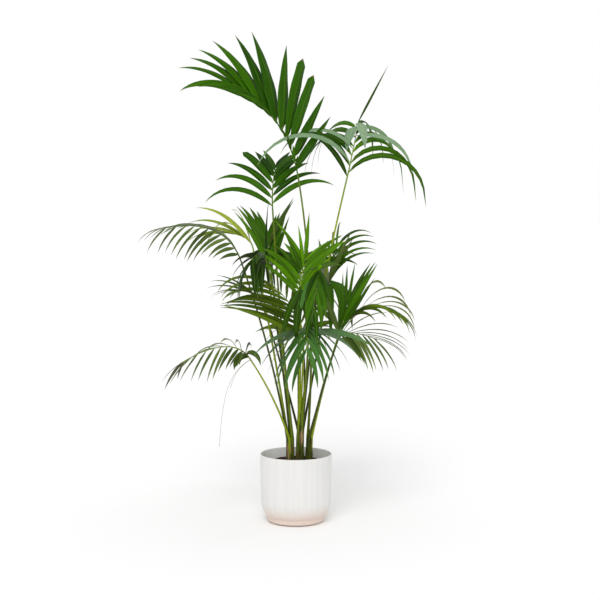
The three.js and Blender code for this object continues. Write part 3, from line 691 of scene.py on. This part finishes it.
def leaflet_piece(row):
    """Every leaflet of one frond, as the row's lists tell."""
    draped, length, width = leaflet_midlines(row)
    cut = np.ones(len(length))
    cut[list(row.get("blunt", []))] = BLUNT_SHARE
    skins = blade_skins[row["tint"]]
    piece = blades(f"leaflets_{row['name']}", draped, length, width, cut, row["number"], skins)
    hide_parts(f"frond_{row['name']}")
    return piece


fronds = [leaflet_piece(row) for row in FRONDS if row["pairs"]]
print(len(fronds), "fronds,", sum(len(piece.data.polygons) for piece in fronds), "faces")

# %% [markdown]
# ## Single leaflets
# A few leaflets don't keep to their frond's order: some have flopped over, and their pale
# grey-green is painted sheen on their upper faces, one is still a rolled spike, a few at the
# foot of an old frond have curled up, and its last tip is dry. Each is told by its place along
# the rib, the bearing and rise of its first direction, how far it turns over and how late, its
# length and width, and how far its face is turned about its own length.

# %% Places of the single leaflets
# a kind's frond and tint, then for each leaflet: place, bearing, rise, fall, late, length,
# width, turn
SINGLE_LEAFLETS = {
    # pale_arcs and flopped wear the pale tint, a painted sheen on their upper faces
    "pale_arcs": ("top_right", "pale", [
        (0.3, 190, 62, 130, 1.0, 430, 22, -55),
        (0.52, 186, 58, 125, 1.0, 330, 19, -50),
        (0.75, 350, 10, 100, 1.2, 290, 22, 50),
        (0.92, 345, 6, 95, 1.1, 200, 17, 60),
    ]),
    "flopped": ("top_right", "pale", [
        (0.9, 240, 15, 100, 0.6, 135, 46, 0),
        (0.98, 285, 15, 100, 0.6, 145, 40, 0),
    ]),
    "rolled_spike": ("top_right", "deep", [
        (1.0, 355, 62, 0, 1.0, 240, 9, 80),
    ]),
    "hanging_middle": ("back_right", "mid", [
        (0.02, 230, 45, 165, 0.6, 250, 30, -30),
        (0.05, 275, 40, 160, 0.6, 260, 32, 10),
        (0.08, 320, 45, 165, 0.6, 240, 30, 30),
        (0.16, 300, 30, 150, 0.6, 230, 28, 20),
    ]),
    "upright_middle": ("back_right", "grey_and_sheen", [
        (0.02, 250, 72, 20, 1.0, 210, 26, 20),
        (0.06, 340, 70, 10, 1.0, 220, 24, 70),
        (0.14, 10, 62, 5, 1.0, 190, 20, 80),
    ]),
    "upright_centre": ("centre", "fresh", [
        (0.97, 60, 80, 0, 1.0, 170, 18, 60),
        (0.9, 175, 62, 15, 1.0, 185, 16, -80),
        (0.7, 180, 70, 10, 1.0, 170, 15, -85),
        (0.82, 120, 78, 5, 1.0, 150, 14, -30),
    ]),
    "hanging_heart": ("centre", "deep", [
        (0.3, 215, -50, 35, 1.0, 200, 30, -25),
        (0.4, 300, -55, 30, 1.0, 215, 34, 15),
        (0.2, 255, -60, 25, 1.0, 190, 32, 0),
    ]),
    # blue_heart: leaflets in the middle whose blue-grey is painted bluish sheen
    "blue_heart": ("front_high", "blue", [
        (0.05, 235, -58, 28, 1.0, 230, 28, -20),
        (0.15, 200, -50, 35, 1.0, 200, 26, -35),
    ]),
    "grey_upright": ("upright_right", "grey_and_sheen", [
        (0.05, 60, 70, 20, 1.0, 230, 20, 60),
        (0.12, 175, 72, 12, 1.0, 240, 22, -80),
        (0.2, 165, 60, 60, 1.0, 200, 18, -70),
    ]),
    "slim_left": ("upright_left", "grey_and_sheen", [
        (0.85, 0, 62, 5, 1.0, 190, 14, 85),
        (0.7, 350, 66, 10, 1.0, 200, 13, 85),
    ]),
    "cut_leaf": ("front", "fresh", [
        (0.0, 10, 22, 25, 1.0, 70, 26, 75),
    ]),
    "dry_heart": ("front", "dry", [
        (0.02, 320, -35, 30, 1.0, 60, 30, 10),
        (0.03, 215, -45, 20, 1.0, 50, 26, -10),
    ]),
    "curled_basal": ("low_left", "grey_and_sheen", [
        (0.02, 200, 50, 150, 0.7, 90, 26, -50),
        (0.06, 240, 60, 150, 0.7, 80, 22, 0),
        (0.1, 330, 50, 140, 0.7, 90, 20, 50),
    ]),
    "dried_tip": ("low_left", "dry", [
        (0.99, 205, -42, 25, 1.0, 120, 10, -60),
        (0.98, 230, -50, 25, 1.0, 70, 9, -20),
    ]),
}
print(len(SINGLE_LEAFLETS), "kinds of single leaflets")


# %% Single leaflets
def single_leaflets(name, frond, tint, leaflets, number):
    """Leaflets of one kind on one rib, by the columns of their short list."""
    row = next(row for row in FRONDS if row["name"] == frond)
    share, compass, rise, fall, late, length, width, turn = np.array(leaflets, float).T
    compass, rise, fall, turn = np.radians([compass, rise, fall, turn])
    level = np.cos(rise)
    first = np.stack([np.cos(compass) * level, np.sin(compass) * level, np.sin(rise)], -1)
    face = unit(np.array([0, 0, 1.0]) - first * first[:, 2:])
    face = turn_about(face, first, turn)
    root, _ = rib(row, share)
    draped = drape(root, first, face, length * MM, fall, late[:, None])
    whole = np.ones(len(length))
    piece = blades(name, draped, length * MM, width * MM, whole, number, blade_skins[tint])
    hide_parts(f"frond_{frond}")
    return len(length)


count = 0
for number, (name, (frond, tint, leaflets)) in enumerate(SINGLE_LEAFLETS.items(), start=101):
    count += single_leaflets(name, frond, tint, leaflets, number)
print(count, "single leaflets")

# %% [markdown]
# ## Stalks and ribs
# A stalk starts low down, as a sheath pressed to the stem, leaves it at its seat, and runs
# on as the frond's rib. Its skin is smooth and satin, brown to olive at the foot,
# yellow-green above and leaf-green at the rib, with fine streaks that grew lengthwise. The
# share of the path that each point carries grades one into the next.

# %% Stalk skins
# each stalk's darker and lighter streaks, and the green of its rib
STALK_TINTS = {
    "yellow": ("#6c8408", "#9aa81c", "#6c8a20"),
    "green": ("#4c6006", "#6e8212", "#4f7218"),
    "dark": ("#2c3a08", "#485410", "#3c5812"),
}


def stalk_material(tint):
    """Smooth palm stalk: sheath brown, then green, with fine lengthwise streaks."""
    low, high, rib_green = STALK_TINTS[tint]
    material, tree = new_material(f"palm stalk skin {tint}", 0.42, 1.45, 0.2)
    share = add_node(tree, "Attribute", out="Fac", attribute_name="share")
    streak = marks(tree, add_node(tree, "TexCoord", out="Object"), (2, 2, 60), 2)
    green = grade(tree, streak, 0.35, 0.65, low, high)
    skin = grade(tree, share, 0.85, 1.1, green, rib_green)
    mottled = add_node(tree, "Math", {0: streak, 1: 0.22, 2: share}, operation="MULTIPLY_ADD")
    skin = grade(tree, mottled, 0.27, 0.08, skin, "#5a4a2c")
    cover(tree, skin, 0.4, 0.3, streak)
    return material


stalk_skins = {tint: stalk_material(tint) for tint in STALK_TINTS}
print(len(stalk_skins), "stalk skins")

# %% [markdown]
# ## The stalk's path
# A stalk is one long growth, so it gets one path: straight up the stem to the seat, over the
# knee to the collar, and along the rib to its tip. Each stretch has its own stations, few
# where it is straight and many where it bends, and its own taper.

# %% Stalk path
SHEATH_STATIONS = 8
STALK_STATIONS = 36
RIB_STATIONS = 30
SOIL_CROWN = 225
SHEATH_SINK = 8
SHEATH_SPREAD = 1.04
SHEATH_RADIUS = 5.2
SHEATH_SHARE = 0.18
STALK_FOOT = 4.4
STALK_NECK = 3.0
SEAT_SWELL = 0.3
RIB_FOOT = 2.9
RIB_TIP = 1.1


def stalk_path(row):
    """Centres, directions, radii, and share from the soil (0) over the collar (1) to the tip
    (2). Each radius is a straight taper, times 1 + 0.3 exp(-14 t) just above the seat."""
    seat, knee, collar = frond_points(row)[:3]
    foot = np.array([*STEMS[row["stem"]]["foot"], SOIL_CROWN - SHEATH_SINK]) * MM
    foot += seat_offset(row) * SHEATH_SPREAD * MM
    low = np.linspace(0, 1, SHEATH_STATIONS, endpoint=False)
    mid = np.linspace(0, 1, STALK_STATIONS)
    far = np.linspace(0, 1, RIB_STATIONS + 1)[1:]
    sheath = foot + (seat - foot) * low[:, None]
    sheath_way = np.tile(unit(seat - foot), (len(low), 1))
    stalk, stalk_way = curve(seat, knee, collar, mid)
    rib_places, rib_way = rib(row, far)
    centres = np.concatenate([sheath, stalk, rib_places])
    ways = np.concatenate([sheath_way, stalk_way, rib_way])
    sheath_radii = SHEATH_RADIUS + (STALK_FOOT * (1 + SEAT_SWELL) - SHEATH_RADIUS) * low
    stalk_radii = STALK_FOOT + (STALK_NECK - STALK_FOOT) * mid
    stalk_radii = stalk_radii * (1 + SEAT_SWELL * np.exp(-mid * 14))
    rib_radii = RIB_FOOT + (RIB_TIP - RIB_FOOT) * far
    radii = np.concatenate([sheath_radii, stalk_radii, rib_radii]) * MM
    share = np.concatenate([low * SHEATH_SHARE, SHEATH_SHARE + (1 - SHEATH_SHARE) * mid, 1 + far])
    return centres, ways, radii, share


print(len(stalk_path(FRONDS[0])[0]), "stations on a stalk and its rib")

# %% [markdown]
# ## The stalk's surface
# A ring is carried along the path, square to it, and hollowed a little on its upper side, as
# a palm's stalk is. A curve with a bevel would be quicker, but gives a plain round rod.

# %% Stalks
STALK_RING = 12
HOLLOW_DEPTH = 0.22
HOLLOW_WIDTH = 0.5


def carry(centres, ways, radii, angle, heading, roll=0, flat=1):
    """Rings round a path: centre + radius (right cos a + up flat sin a)."""
    right, up = grain(ways, heading, roll)
    swing = right[:, None] * np.cos(angle)[:, None] + up[:, None] * flat * np.sin(angle)[:, None]
    return centres[:, None] + radii[..., None] * swing


def stalk_piece(row):
    """A ring carried along the path: radius times 1 less a shallow hollow on the upper side."""
    centres, ways, radii, share = stalk_path(row)
    angle = ring_angles(STALK_RING)
    hollow = 1 - HOLLOW_DEPTH * np.exp(-((angle - np.pi / 2) / HOLLOW_WIDTH) ** 2)
    ring = carry(centres, ways, radii[:, None] * hollow, angle, row["heading"], row["roll"])
    piece = build_piece(
        f"stalk_skin_{row['name']}", ring, tube_faces(len(centres), STALK_RING),
        [stalk_skins[row["stalk"]]], None, {"share": np.repeat(share, STALK_RING)}, edge=60,
    )
    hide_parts(f"stalk_{row['name']}")


for row in FRONDS:
    stalk_piece(row)
print(len(FRONDS), "stalks")

# %% [markdown]
# ## Sheaths on the stems
# Each stem is wrapped in old leaf bases, dry brown at the foot and net-like at the top where
# their fibres have torn. The skin is a dry, rough one: olive where the base still lives,
# brown where it has died, and pinkish where it is torn down to the fibre. Painting would
# need a picture, so noise drawn out lengthwise deals out all three.


# %% Sheath skin
def sheath_material():
    """Dry palm sheath: brown and pinkish fibre over olive, rough, streaked lengthwise."""
    material, tree = new_material("palm leaf sheath", 0.85, 1.4, 0.2)
    place = add_node(tree, "TexCoord", out="Object")
    fibre = marks(tree, place, (3, 3, 40), 4)
    green = grade(tree, fibre, 0.35, 0.65, "#262a0c", "#56621c")
    brown = grade(tree, fibre, 0.3, 0.7, "#3c2c1a", "#74583c")
    pink = grade(tree, fibre, 0.35, 0.65, "#7a4e38", "#c09a84")
    skin = grade(tree, marks(tree, place, (35, 35, 35), 2), 0.45, 0.6, green, brown)
    torn = add_node(tree, "Attribute", out="Fac", attribute_name="torn")
    torn = add_node(tree, "Math", {0: fibre, 1: 0.9, 2: torn}, operation="MULTIPLY_ADD")
    skin = grade(tree, torn, 0.85, 1.05, skin, pink)
    cover(tree, skin, 0.7, 0.8, fibre)
    return material


sheath_skin = sheath_material()
print(len(sheath_skin.node_tree.nodes), "nodes in the sheath's skin")

# %% [markdown]
# ## Stems
# The wrapped core is a ring of points carried up the stem, pushed in and out by crossing
# waves that stand for the fibres. It could be sculpted, but a rule serves all four stems.

# %% Stems
STEM_RING = 72
STEM_STATIONS = 60
STEM_SINK = 6
STEM_RISE = 2
# a stem's girth as a share of its straight taper, at places from foot to top
STEM_PLACES = (0, 0.1, 0.6, 0.95, 1)
STEM_GIRTHS = (1.0, 0.97, 0.95, 0.82, 0.7)
# where a stem's fibres are torn: the bearing and height of the middle of the patch
TORN = {"middle": (-62, 315), "left": (-112, 262)}
TORN_HALF_WIDTH = 0.6
TORN_HALF_HEIGHT = 34


def stem_piece(name, stem, number):
    """Radius times 1 plus fine upright waves and slower wraps, and ragged where it is torn,
    which is exp(-x^2 - y^2) at x half-widths and y half-heights from the patch's middle."""
    foot = np.array([*stem["foot"], SOIL_CROWN - STEM_SINK]) * MM
    top = np.array([*stem["top"][:2], stem["top"][2] + STEM_RISE]) * MM
    t = np.linspace(0, 1, STEM_STATIONS)[:, None]
    angle = ring_angles(STEM_RING)[None]
    low, high = stem["radii"]
    radius = (low + (high - low) * t) * np.interp(t, STEM_PLACES, STEM_GIRTHS)
    centre = foot + (top - foot) * t
    compass, height = TORN.get(name, (0, 0))
    aside = np.angle(np.exp(1j * (angle - math.radians(compass)))) / TORN_HALF_WIDTH
    above = (centre[:, 2:] / MM - height) / TORN_HALF_HEIGHT
    torn = np.exp(-(aside**2) - above**2)
    fine = 0.025 * np.sin(angle * 24 + number) + 0.02 * np.sin(angle * 17 + 9 * t)
    wrap = 0.025 * np.sin(angle * 2 + 14 * t + number * 2)
    ragged = 0.05 * torn * np.sin(angle * 31 + 23 * t)
    radius = radius * (1 + fine + wrap + ragged) * MM
    x = centre[:, :1] + radius * np.cos(angle)
    y = centre[:, 1:2] + radius * np.sin(angle)
    ring = np.stack([x, y, np.broadcast_to(centre[:, 2:], radius.shape)], -1)
    piece = build_piece(
        f"stem_sheath_{name}", ring, tube_faces(STEM_STATIONS, STEM_RING), [sheath_skin],
        None, {"torn": torn}, edge=50,
    )
    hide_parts(f"stem_{name}")


for number, (name, stem) in enumerate(STEMS.items()):
    stem_piece(name, stem, number)
print(len(STEMS), "stems")

# %% [markdown]
# ## The spear
# The spear is the newest leaf, still rolled up: a slim spindle with one long overlapping
# fold, in the same skin as an open leaflet. It is carried along its rib as the stalks are.

# %% Spear
SPEAR_STATIONS = 60
SPEAR_RING = 24
SPEAR_RADIUS = 11.5
SPEAR_LENGTH = 340
SPEAR_FLATNESS = 0.55
SPEAR_TONE = 0.4
# the spear's girth as a share of its greatest, at places from foot to point
GIRTH_PLACES = (0, 0.06, 0.16, 0.32, 0.52, 0.74, 0.9, 1)
GIRTHS = (0.32, 0.5, 0.8, 1, 0.92, 0.6, 0.28, 0.04)
# the overlap's bearing at the foot and its turn up to the point, in radians, and its size
CREASE_START = 4.4
CREASE_TWIST = 0.5
CREASE_WIDTH = 0.22
CREASE_DEPTH = 0.3


def spear_piece(row):
    """A flattened ring along the rib's curve, less a crease where the leaf overlaps itself."""
    share = np.linspace(0, 1, SPEAR_STATIONS)
    centre, way = rib(row, share)
    girth = np.interp(share, GIRTH_PLACES, GIRTHS)
    angle = ring_angles(SPEAR_RING)
    off = (angle[None] - CREASE_START - CREASE_TWIST * share[:, None]) / CREASE_WIDTH
    radii = SPEAR_RADIUS * MM * girth[:, None] * (1 - CREASE_DEPTH * np.exp(-(off**2)))
    ring = carry(centre, way, radii, angle, row["heading"], flat=SPEAR_FLATNESS)
    tone = np.full(SPEAR_STATIONS * SPEAR_RING, SPEAR_TONE)
    values = {"share": np.repeat(share, SPEAR_RING), "tone": tone}
    u = np.tile(np.cos(angle) * SPEAR_RADIUS * MM, SPEAR_STATIONS)
    v = np.repeat(share * SPEAR_LENGTH * MM, SPEAR_RING)
    piece = build_piece(
        "rolled_spear", ring, tube_faces(SPEAR_STATIONS, SPEAR_RING),
        [blade_skins["deep"][0]], None, values, np.stack([u, v], -1), edge=60,
    )
    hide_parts("spear")
    return piece


print(len(spear_piece(FRONDS[-1]).data.polygons), "faces on the spear")

# %% [markdown]
# ## Loose fibres
# Where an old sheath has frayed, hair-fine fibres hang down. Each is a thin tube along one
# quadratic curve, told by three points. A hair drawn as a flat strip would vanish edge-on.

# %% Loose fibres
FIBRE_RING = 5
FIBRE_STATIONS = 24
FIBRE_RADIUS = 0.8
FIBRES = [
    ((-158, -70, 600), (-236, -80, 560), (-255, -84, 446)),
    ((-255, -84, 446), (-268, -86, 380), (-272, -88, 290)),
    ((-162, -72, 596), (-215, -90, 570), (-232, -96, 500)),
]


def fibre_piece(name, curves):
    """A thin tube along each curve, told by its first, middle and last point."""
    share = np.linspace(0, 1, FIBRE_STATIONS)
    radii = np.full((FIBRE_STATIONS, 1), FIBRE_RADIUS * MM)
    rings, faces = [], []
    for first, middle, last in np.array(curves, float) * MM:
        centre, way = curve(first, middle, last, share)
        start = len(rings) * FIBRE_STATIONS * FIBRE_RING
        rings.append(carry(centre, way, radii, ring_angles(FIBRE_RING), 180))
        tube = tube_faces(FIBRE_STATIONS, FIBRE_RING)
        faces += [[corner + start for corner in face] for face in tube]
    piece = build_piece(name, np.stack(rings), faces, [fibre_skin])
    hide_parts("frond_low_left")


fibre_piece("loose_fibres", FIBRES)
print(len(FIBRES), "fibres")

# %% [markdown]
# ## The pot's profile
# The pot is one moulding with a thin wall, a rounded rim and a rounded foot, which stands on
# a ring. It is round, so half a section tells all of it: a line from under the foot, up the
# outside, over the rim and down the inside. Straight sides get points too, since a wall with
# none between foot and rim would shade unevenly.

# %% Pot profile
RIM_RADIUS = 130
POT_HEIGHT = 247
WALL = 3.2
FOOT_RADIUS = 88
# the flat faces under the pot and inside it close this near to the axis
HUB_RADIUS = 2
FLOOR_THICKNESS = 6
# the standing ring, and the lower curve of the wall: where the curve starts, how far it comes
# in, how far it goes down, and the bearing at which it meets the ring
RING_RADIUS = 105
RING_HEIGHT = 21
BODY_RADIUS = 127.5
CURVE_TOP = 88
CURVE_IN = 29.7
CURVE_DOWN = 68.3
CURVE_END = -74
WALL_MIDDLE = 150


def smooth_profile(points, per_side):
    """Points spread evenly along straight sides, so that a turned wall shades evenly."""
    points = np.array(points, float)
    share = np.linspace(0, 1, per_side, endpoint=False)[:, None]
    parts = [a + (b - a) * share for a, b in zip(points[:-1], points[1:])]
    return np.concatenate(parts + [points[-1:]])


def arc(centre, radii, start, end, steps):
    """An elliptic arc: centre + (rx cos a, rz sin a), from start to end degrees."""
    a = np.radians(np.linspace(start, end, steps))
    return np.stack([centre[0] + radii[0] * np.cos(a), centre[1] + radii[1] * np.sin(a)], -1)


curve_centre = (BODY_RADIUS - CURVE_IN, CURVE_TOP)
wall_outside = [
    (BODY_RADIUS + 0.1, CURVE_TOP + 4),
    (RIM_RADIUS - 1, WALL_MIDDLE),
    (RIM_RADIUS, POT_HEIGHT - 2),
]
wall_inside = [
    (RIM_RADIUS - WALL, POT_HEIGHT - 4),
    (RIM_RADIUS - WALL - 1, WALL_MIDDLE),
    (BODY_RADIUS - WALL + 0.1, CURVE_TOP + 2),
]
floor_inside = [(FOOT_RADIUS - 4, FLOOR_THICKNESS), (HUB_RADIUS, FLOOR_THICKNESS)]
outer_profile = np.concatenate(
    [
        smooth_profile([(HUB_RADIUS, 0), (FOOT_RADIUS - 6, 0)], 4),
        arc((FOOT_RADIUS - 2, 9), (RING_RADIUS - FOOT_RADIUS + 1, 8.4), -88, 0, 10),
        smooth_profile([(RING_RADIUS - 0.6, 12), (RING_RADIUS, RING_HEIGHT - 1)], 3),
        arc(curve_centre, (CURVE_IN, CURVE_DOWN), CURVE_END, 0, 24),
        smooth_profile(wall_outside, 12),
        arc((RIM_RADIUS - WALL / 2, POT_HEIGHT - WALL / 2), (WALL / 2, WALL / 2), 0, 180, 9),
    ]
)
inner_profile = np.concatenate(
    [
        smooth_profile(wall_inside, 12),
        arc(curve_centre, (CURVE_IN - WALL, CURVE_DOWN - WALL), 0, CURVE_END - 1, 16),
        smooth_profile(floor_inside, 3),
    ]
)
pot_profile = np.concatenate([outer_profile, inner_profile])
print("the pot is", pot_profile[:, 1].max(), "mm tall and", 2 * RIM_RADIUS, "mm wide")

# %% [markdown]
# ## The pot
# The pot is moulded polypropylene: an even off-white, softly matt. Towards the foot a warmer,
# darker tint is painted shade, and the brighter inside wall is painted light. The mould leaves
# faint upright flow marks and a fine grain, too slight to model, so they are noise and a bump.
# The Spin tool could turn the profile; as an array it is one line, and its faces already point
# outwards.

# %% Pot
POT_SIDES = 160


def turned_about_axis(profile, sides):
    """Each profile point (radius, height) swept round the axis."""
    angle = ring_angles(sides)
    radius = profile[:, :1] * MM
    height = np.repeat(profile[:, 1:] * MM, sides, 1)
    return np.stack([radius * np.cos(angle), radius * np.sin(angle), height], -1)


def pot_material(name, low, high):
    """Moulded polypropylene: soft matt off-white, faint upright flow marks, fine grain."""
    material, tree = new_material(name, 0.5, 1.49)
    place = add_node(tree, "TexCoord", out="Object")
    height = add_node(tree, "SeparateXYZ", {0: place}, "Z")
    skin = grade(tree, marks(tree, place, (14, 14, 400), 2), 0.3, 0.7, low, high)
    # painted warm shade: darker and warmer from 80 mm down to 14 mm, where the foot curves in
    skin = grade(tree, height, 80 * MM, 14 * MM, skin, "#dbc3b3", 0.75)
    cover(tree, skin, 0.15, 0.15, marks(tree, place, (1.2, 1.2, 1.2), 2))
    return material


pot_skins = [
    pot_material("moulded polypropylene", "#dedddb", "#e2e1df"),
    # the inner skin's lighter white is painted light on the inside wall, which lies in shade
    pot_material("moulded polypropylene inner painted light", "#f8f8f6", "#fcfcfa"),
]
pot_faces = tube_faces(len(pot_profile), POT_SIDES)
outer_faces = (len(outer_profile) - 1) * POT_SIDES
face_skin = (np.arange(len(pot_faces)) >= outer_faces).astype(int)
# the last two faces close the underside, in the outer skin, and the floor inside
face_skin[-2:] = (0, 1)
pot = build_piece(
    "moulded_pot", turned_about_axis(pot_profile, POT_SIDES), pot_faces, pot_skins,
    face_skin, edge=40,
)
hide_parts("pot")
print(len(pot.data.polygons), "faces on the pot")

# %% [markdown]
# ## The potting mix
# The mix is coarse bark and peat, dark reddish brown and fully matt, heaped at the middle
# and fallen away towards the wall. Scattering thousands of crumbs would be slow and hardly
# seen, so a disc is roughened by waves and chance, and Voronoi cells of 5 mm give each crumb
# its colour and its edge.

# %% Potting mix
CRUMB = 5
SOIL_RINGS = 70
SOIL_SIDES = 180
SOIL_EDGE = 197
CROWN_RADIUS = 74
CROWN_SINK = 2.2
SOIL_RADIUS = RIM_RADIUS - WALL - 2
# below its rim the mix follows the inside of the pot: share of its radius, and height
SOIL_SKIRT = [(0.99, 100.0), (0.95, 60.0), (0.78, 30.0)]


def mix_material():
    """Bark and peat: dark reddish brown crumbs, fully rough."""
    material, tree = new_material("bark and peat mix", 0.95, 1.4, 0.2)
    place = add_node(tree, "TexCoord", out="Object")
    crumb = add_node(tree, "TexVoronoi", {"Vector": place, "Scale": 1 / (CRUMB * MM)})
    skin = add_node(tree, "Mix", {0: crumb, 6: "#4a2a20", 7: "#1f130d"}, 2, data_type="RGBA")
    cover(tree, skin, 0.8, 1.5, crumb)
    return material


def soil_piece():
    """The mix's top falls as (share of the way from the crown to the wall) ** 1.4. Crossed
    waves, and chance for each 3 mm square, roughen it."""
    radius = np.linspace(0.5, SOIL_RADIUS, SOIL_RINGS)[:, None]
    angle = ring_angles(SOIL_SIDES)[None]
    fall = np.clip((radius - CROWN_RADIUS) / (SOIL_RADIUS - CROWN_RADIUS), 0, 1) ** 1.4
    x = radius * np.cos(angle)
    y = radius * np.sin(angle)
    rough = 1.6 * (chance(np.floor(x / 3), np.floor(y / 3), 1) - 0.5)
    slow = 0.9 * (np.sin(x / 9) * np.cos(y / 7) + 0.6 * np.sin(x / 4 + y / 5))
    z = SOIL_CROWN - CROWN_SINK - (SOIL_CROWN - SOIL_EDGE) * fall + rough + slow
    top = np.stack([x, y, z], -1)
    skirt = [
        np.stack([x[-1] * shrink, y[-1] * shrink, np.full(SOIL_SIDES, height)], -1)[None]
        for shrink, height in SOIL_SKIRT
    ]
    grid = np.concatenate([top, *skirt])[::-1] * MM
    piece = build_piece(
        "potting_mix_top", grid, tube_faces(len(grid), SOIL_SIDES), [mix_material()], edge=60
    )
    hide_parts("soil")
    return piece


print(len(soil_piece().data.polygons), "faces on the potting mix")

# %% [markdown]
# ## Floor
# A catalogue picture has no corner in it, so one very large matt white face is enough. It
# lies 1 mm under the pot, because two faces at the same height would flicker.

# %% Floor
FLOOR_HALF = 200
FLOOR_HEIGHT = -0.001
corners = np.array([(-1, -1, 0), (1, -1, 0), (1, 1, 0), (-1, 1, 0)]) * FLOOR_HALF
floor_mesh = bpy.data.meshes.new("floor")
floor_mesh.from_pydata(corners + (0, 0, FLOOR_HEIGHT), [], [(0, 1, 2, 3)])
floor_paint, floor_tree = new_material("matt white paint", 0.9, 1.4)
floor_tree.nodes["Principled BSDF"].inputs["Base Color"].default_value = linear("#fdfdfd")
floor_mesh.materials.append(floor_paint)
floor = bpy.data.objects.new("floor", floor_mesh)
bpy.context.scene.collection.objects.link(floor)
print("the floor is", 2 * FLOOR_HALF, "m wide")

# %% [markdown]
# ## Light
# The room is as white as the floor, so that the two meet without a line, but dimmer
# overhead, so that the upper sides of leaves keep the depth of their green. Two broad suns,
# one from the front and one from above, model the shapes with soft shadows. Area lamps would
# do it too, but a sun lights a tall plant evenly from top to foot.

# %% Light
ZENITH_LIGHT = 0.5
DIM_FROM = 0.25
DIM_TO = 0.6
world = bpy.data.worlds.new("white room")
world.use_nodes = True
room = world.node_tree
direction = add_node(room, "TexCoord", out="Generated")
height = add_node(room, "SeparateXYZ", {0: direction}, "Z")
dimming = {"Value": height, "From Min": DIM_FROM, "From Max": DIM_TO}
dimming |= {"To Min": 1, "To Max": ZENITH_LIGHT}
dimmer = add_node(room, "MapRange", dimming, interpolation_type="SMOOTHSTEP")
room.links.new(dimmer, room.nodes["Background"].inputs["Strength"])
room.nodes["Background"].inputs["Color"].default_value = (1, 1, 1, 1)
bpy.context.scene.world = world
bpy.context.scene.view_settings.view_transform = "Standard"


def soft_sun(name, compass, height, spread, strength):
    """Parallel light from compass degrees (0 is +X) and height degrees, softened by spread."""
    lamp = bpy.data.lights.new(name, "SUN")
    lamp.angle = math.radians(spread)
    lamp.energy = strength
    holder = bpy.data.objects.new(name, lamp)
    bpy.context.scene.collection.objects.link(holder)
    holder.rotation_euler = (math.radians(90 - height), 0, math.radians(compass + 90))
    return lamp


suns = [soft_sun("key", -98, 46, 30, 1.3), soft_sun("top", 60, 78, 60, 0.5)]
print(len(suns), "suns, of strength", [round(sun.energy, 1) for sun in suns])

# %% [markdown]
# ## Camera
# The camera stands four and a half metres away, a little above the plant's middle, and looks
# slightly down. Its focal length is given in pixels of a picture 600 wide, and the lens in
# millimetres follows from the sensor's width.

# %% Camera
# in metres, and degrees below the level
CAMERA_PLACE = (0.015, -4.5, 1.105)
CAMERA_PITCH = 3.8
FOCAL_PIXELS = 1249
IMAGE_PIXELS = 600
SENSOR = 36
camera_data = bpy.data.cameras.new("camera")
camera_data.sensor_width = SENSOR
camera_data.lens = FOCAL_PIXELS / IMAGE_PIXELS * SENSOR
camera = bpy.data.objects.new("camera", camera_data)
camera.location = CAMERA_PLACE
camera.rotation_euler = (math.radians(90 - CAMERA_PITCH), 0, 0)
bpy.context.scene.collection.objects.link(camera)
bpy.context.scene.camera = camera
print("a lens of", round(camera_data.lens, 1), "mm")
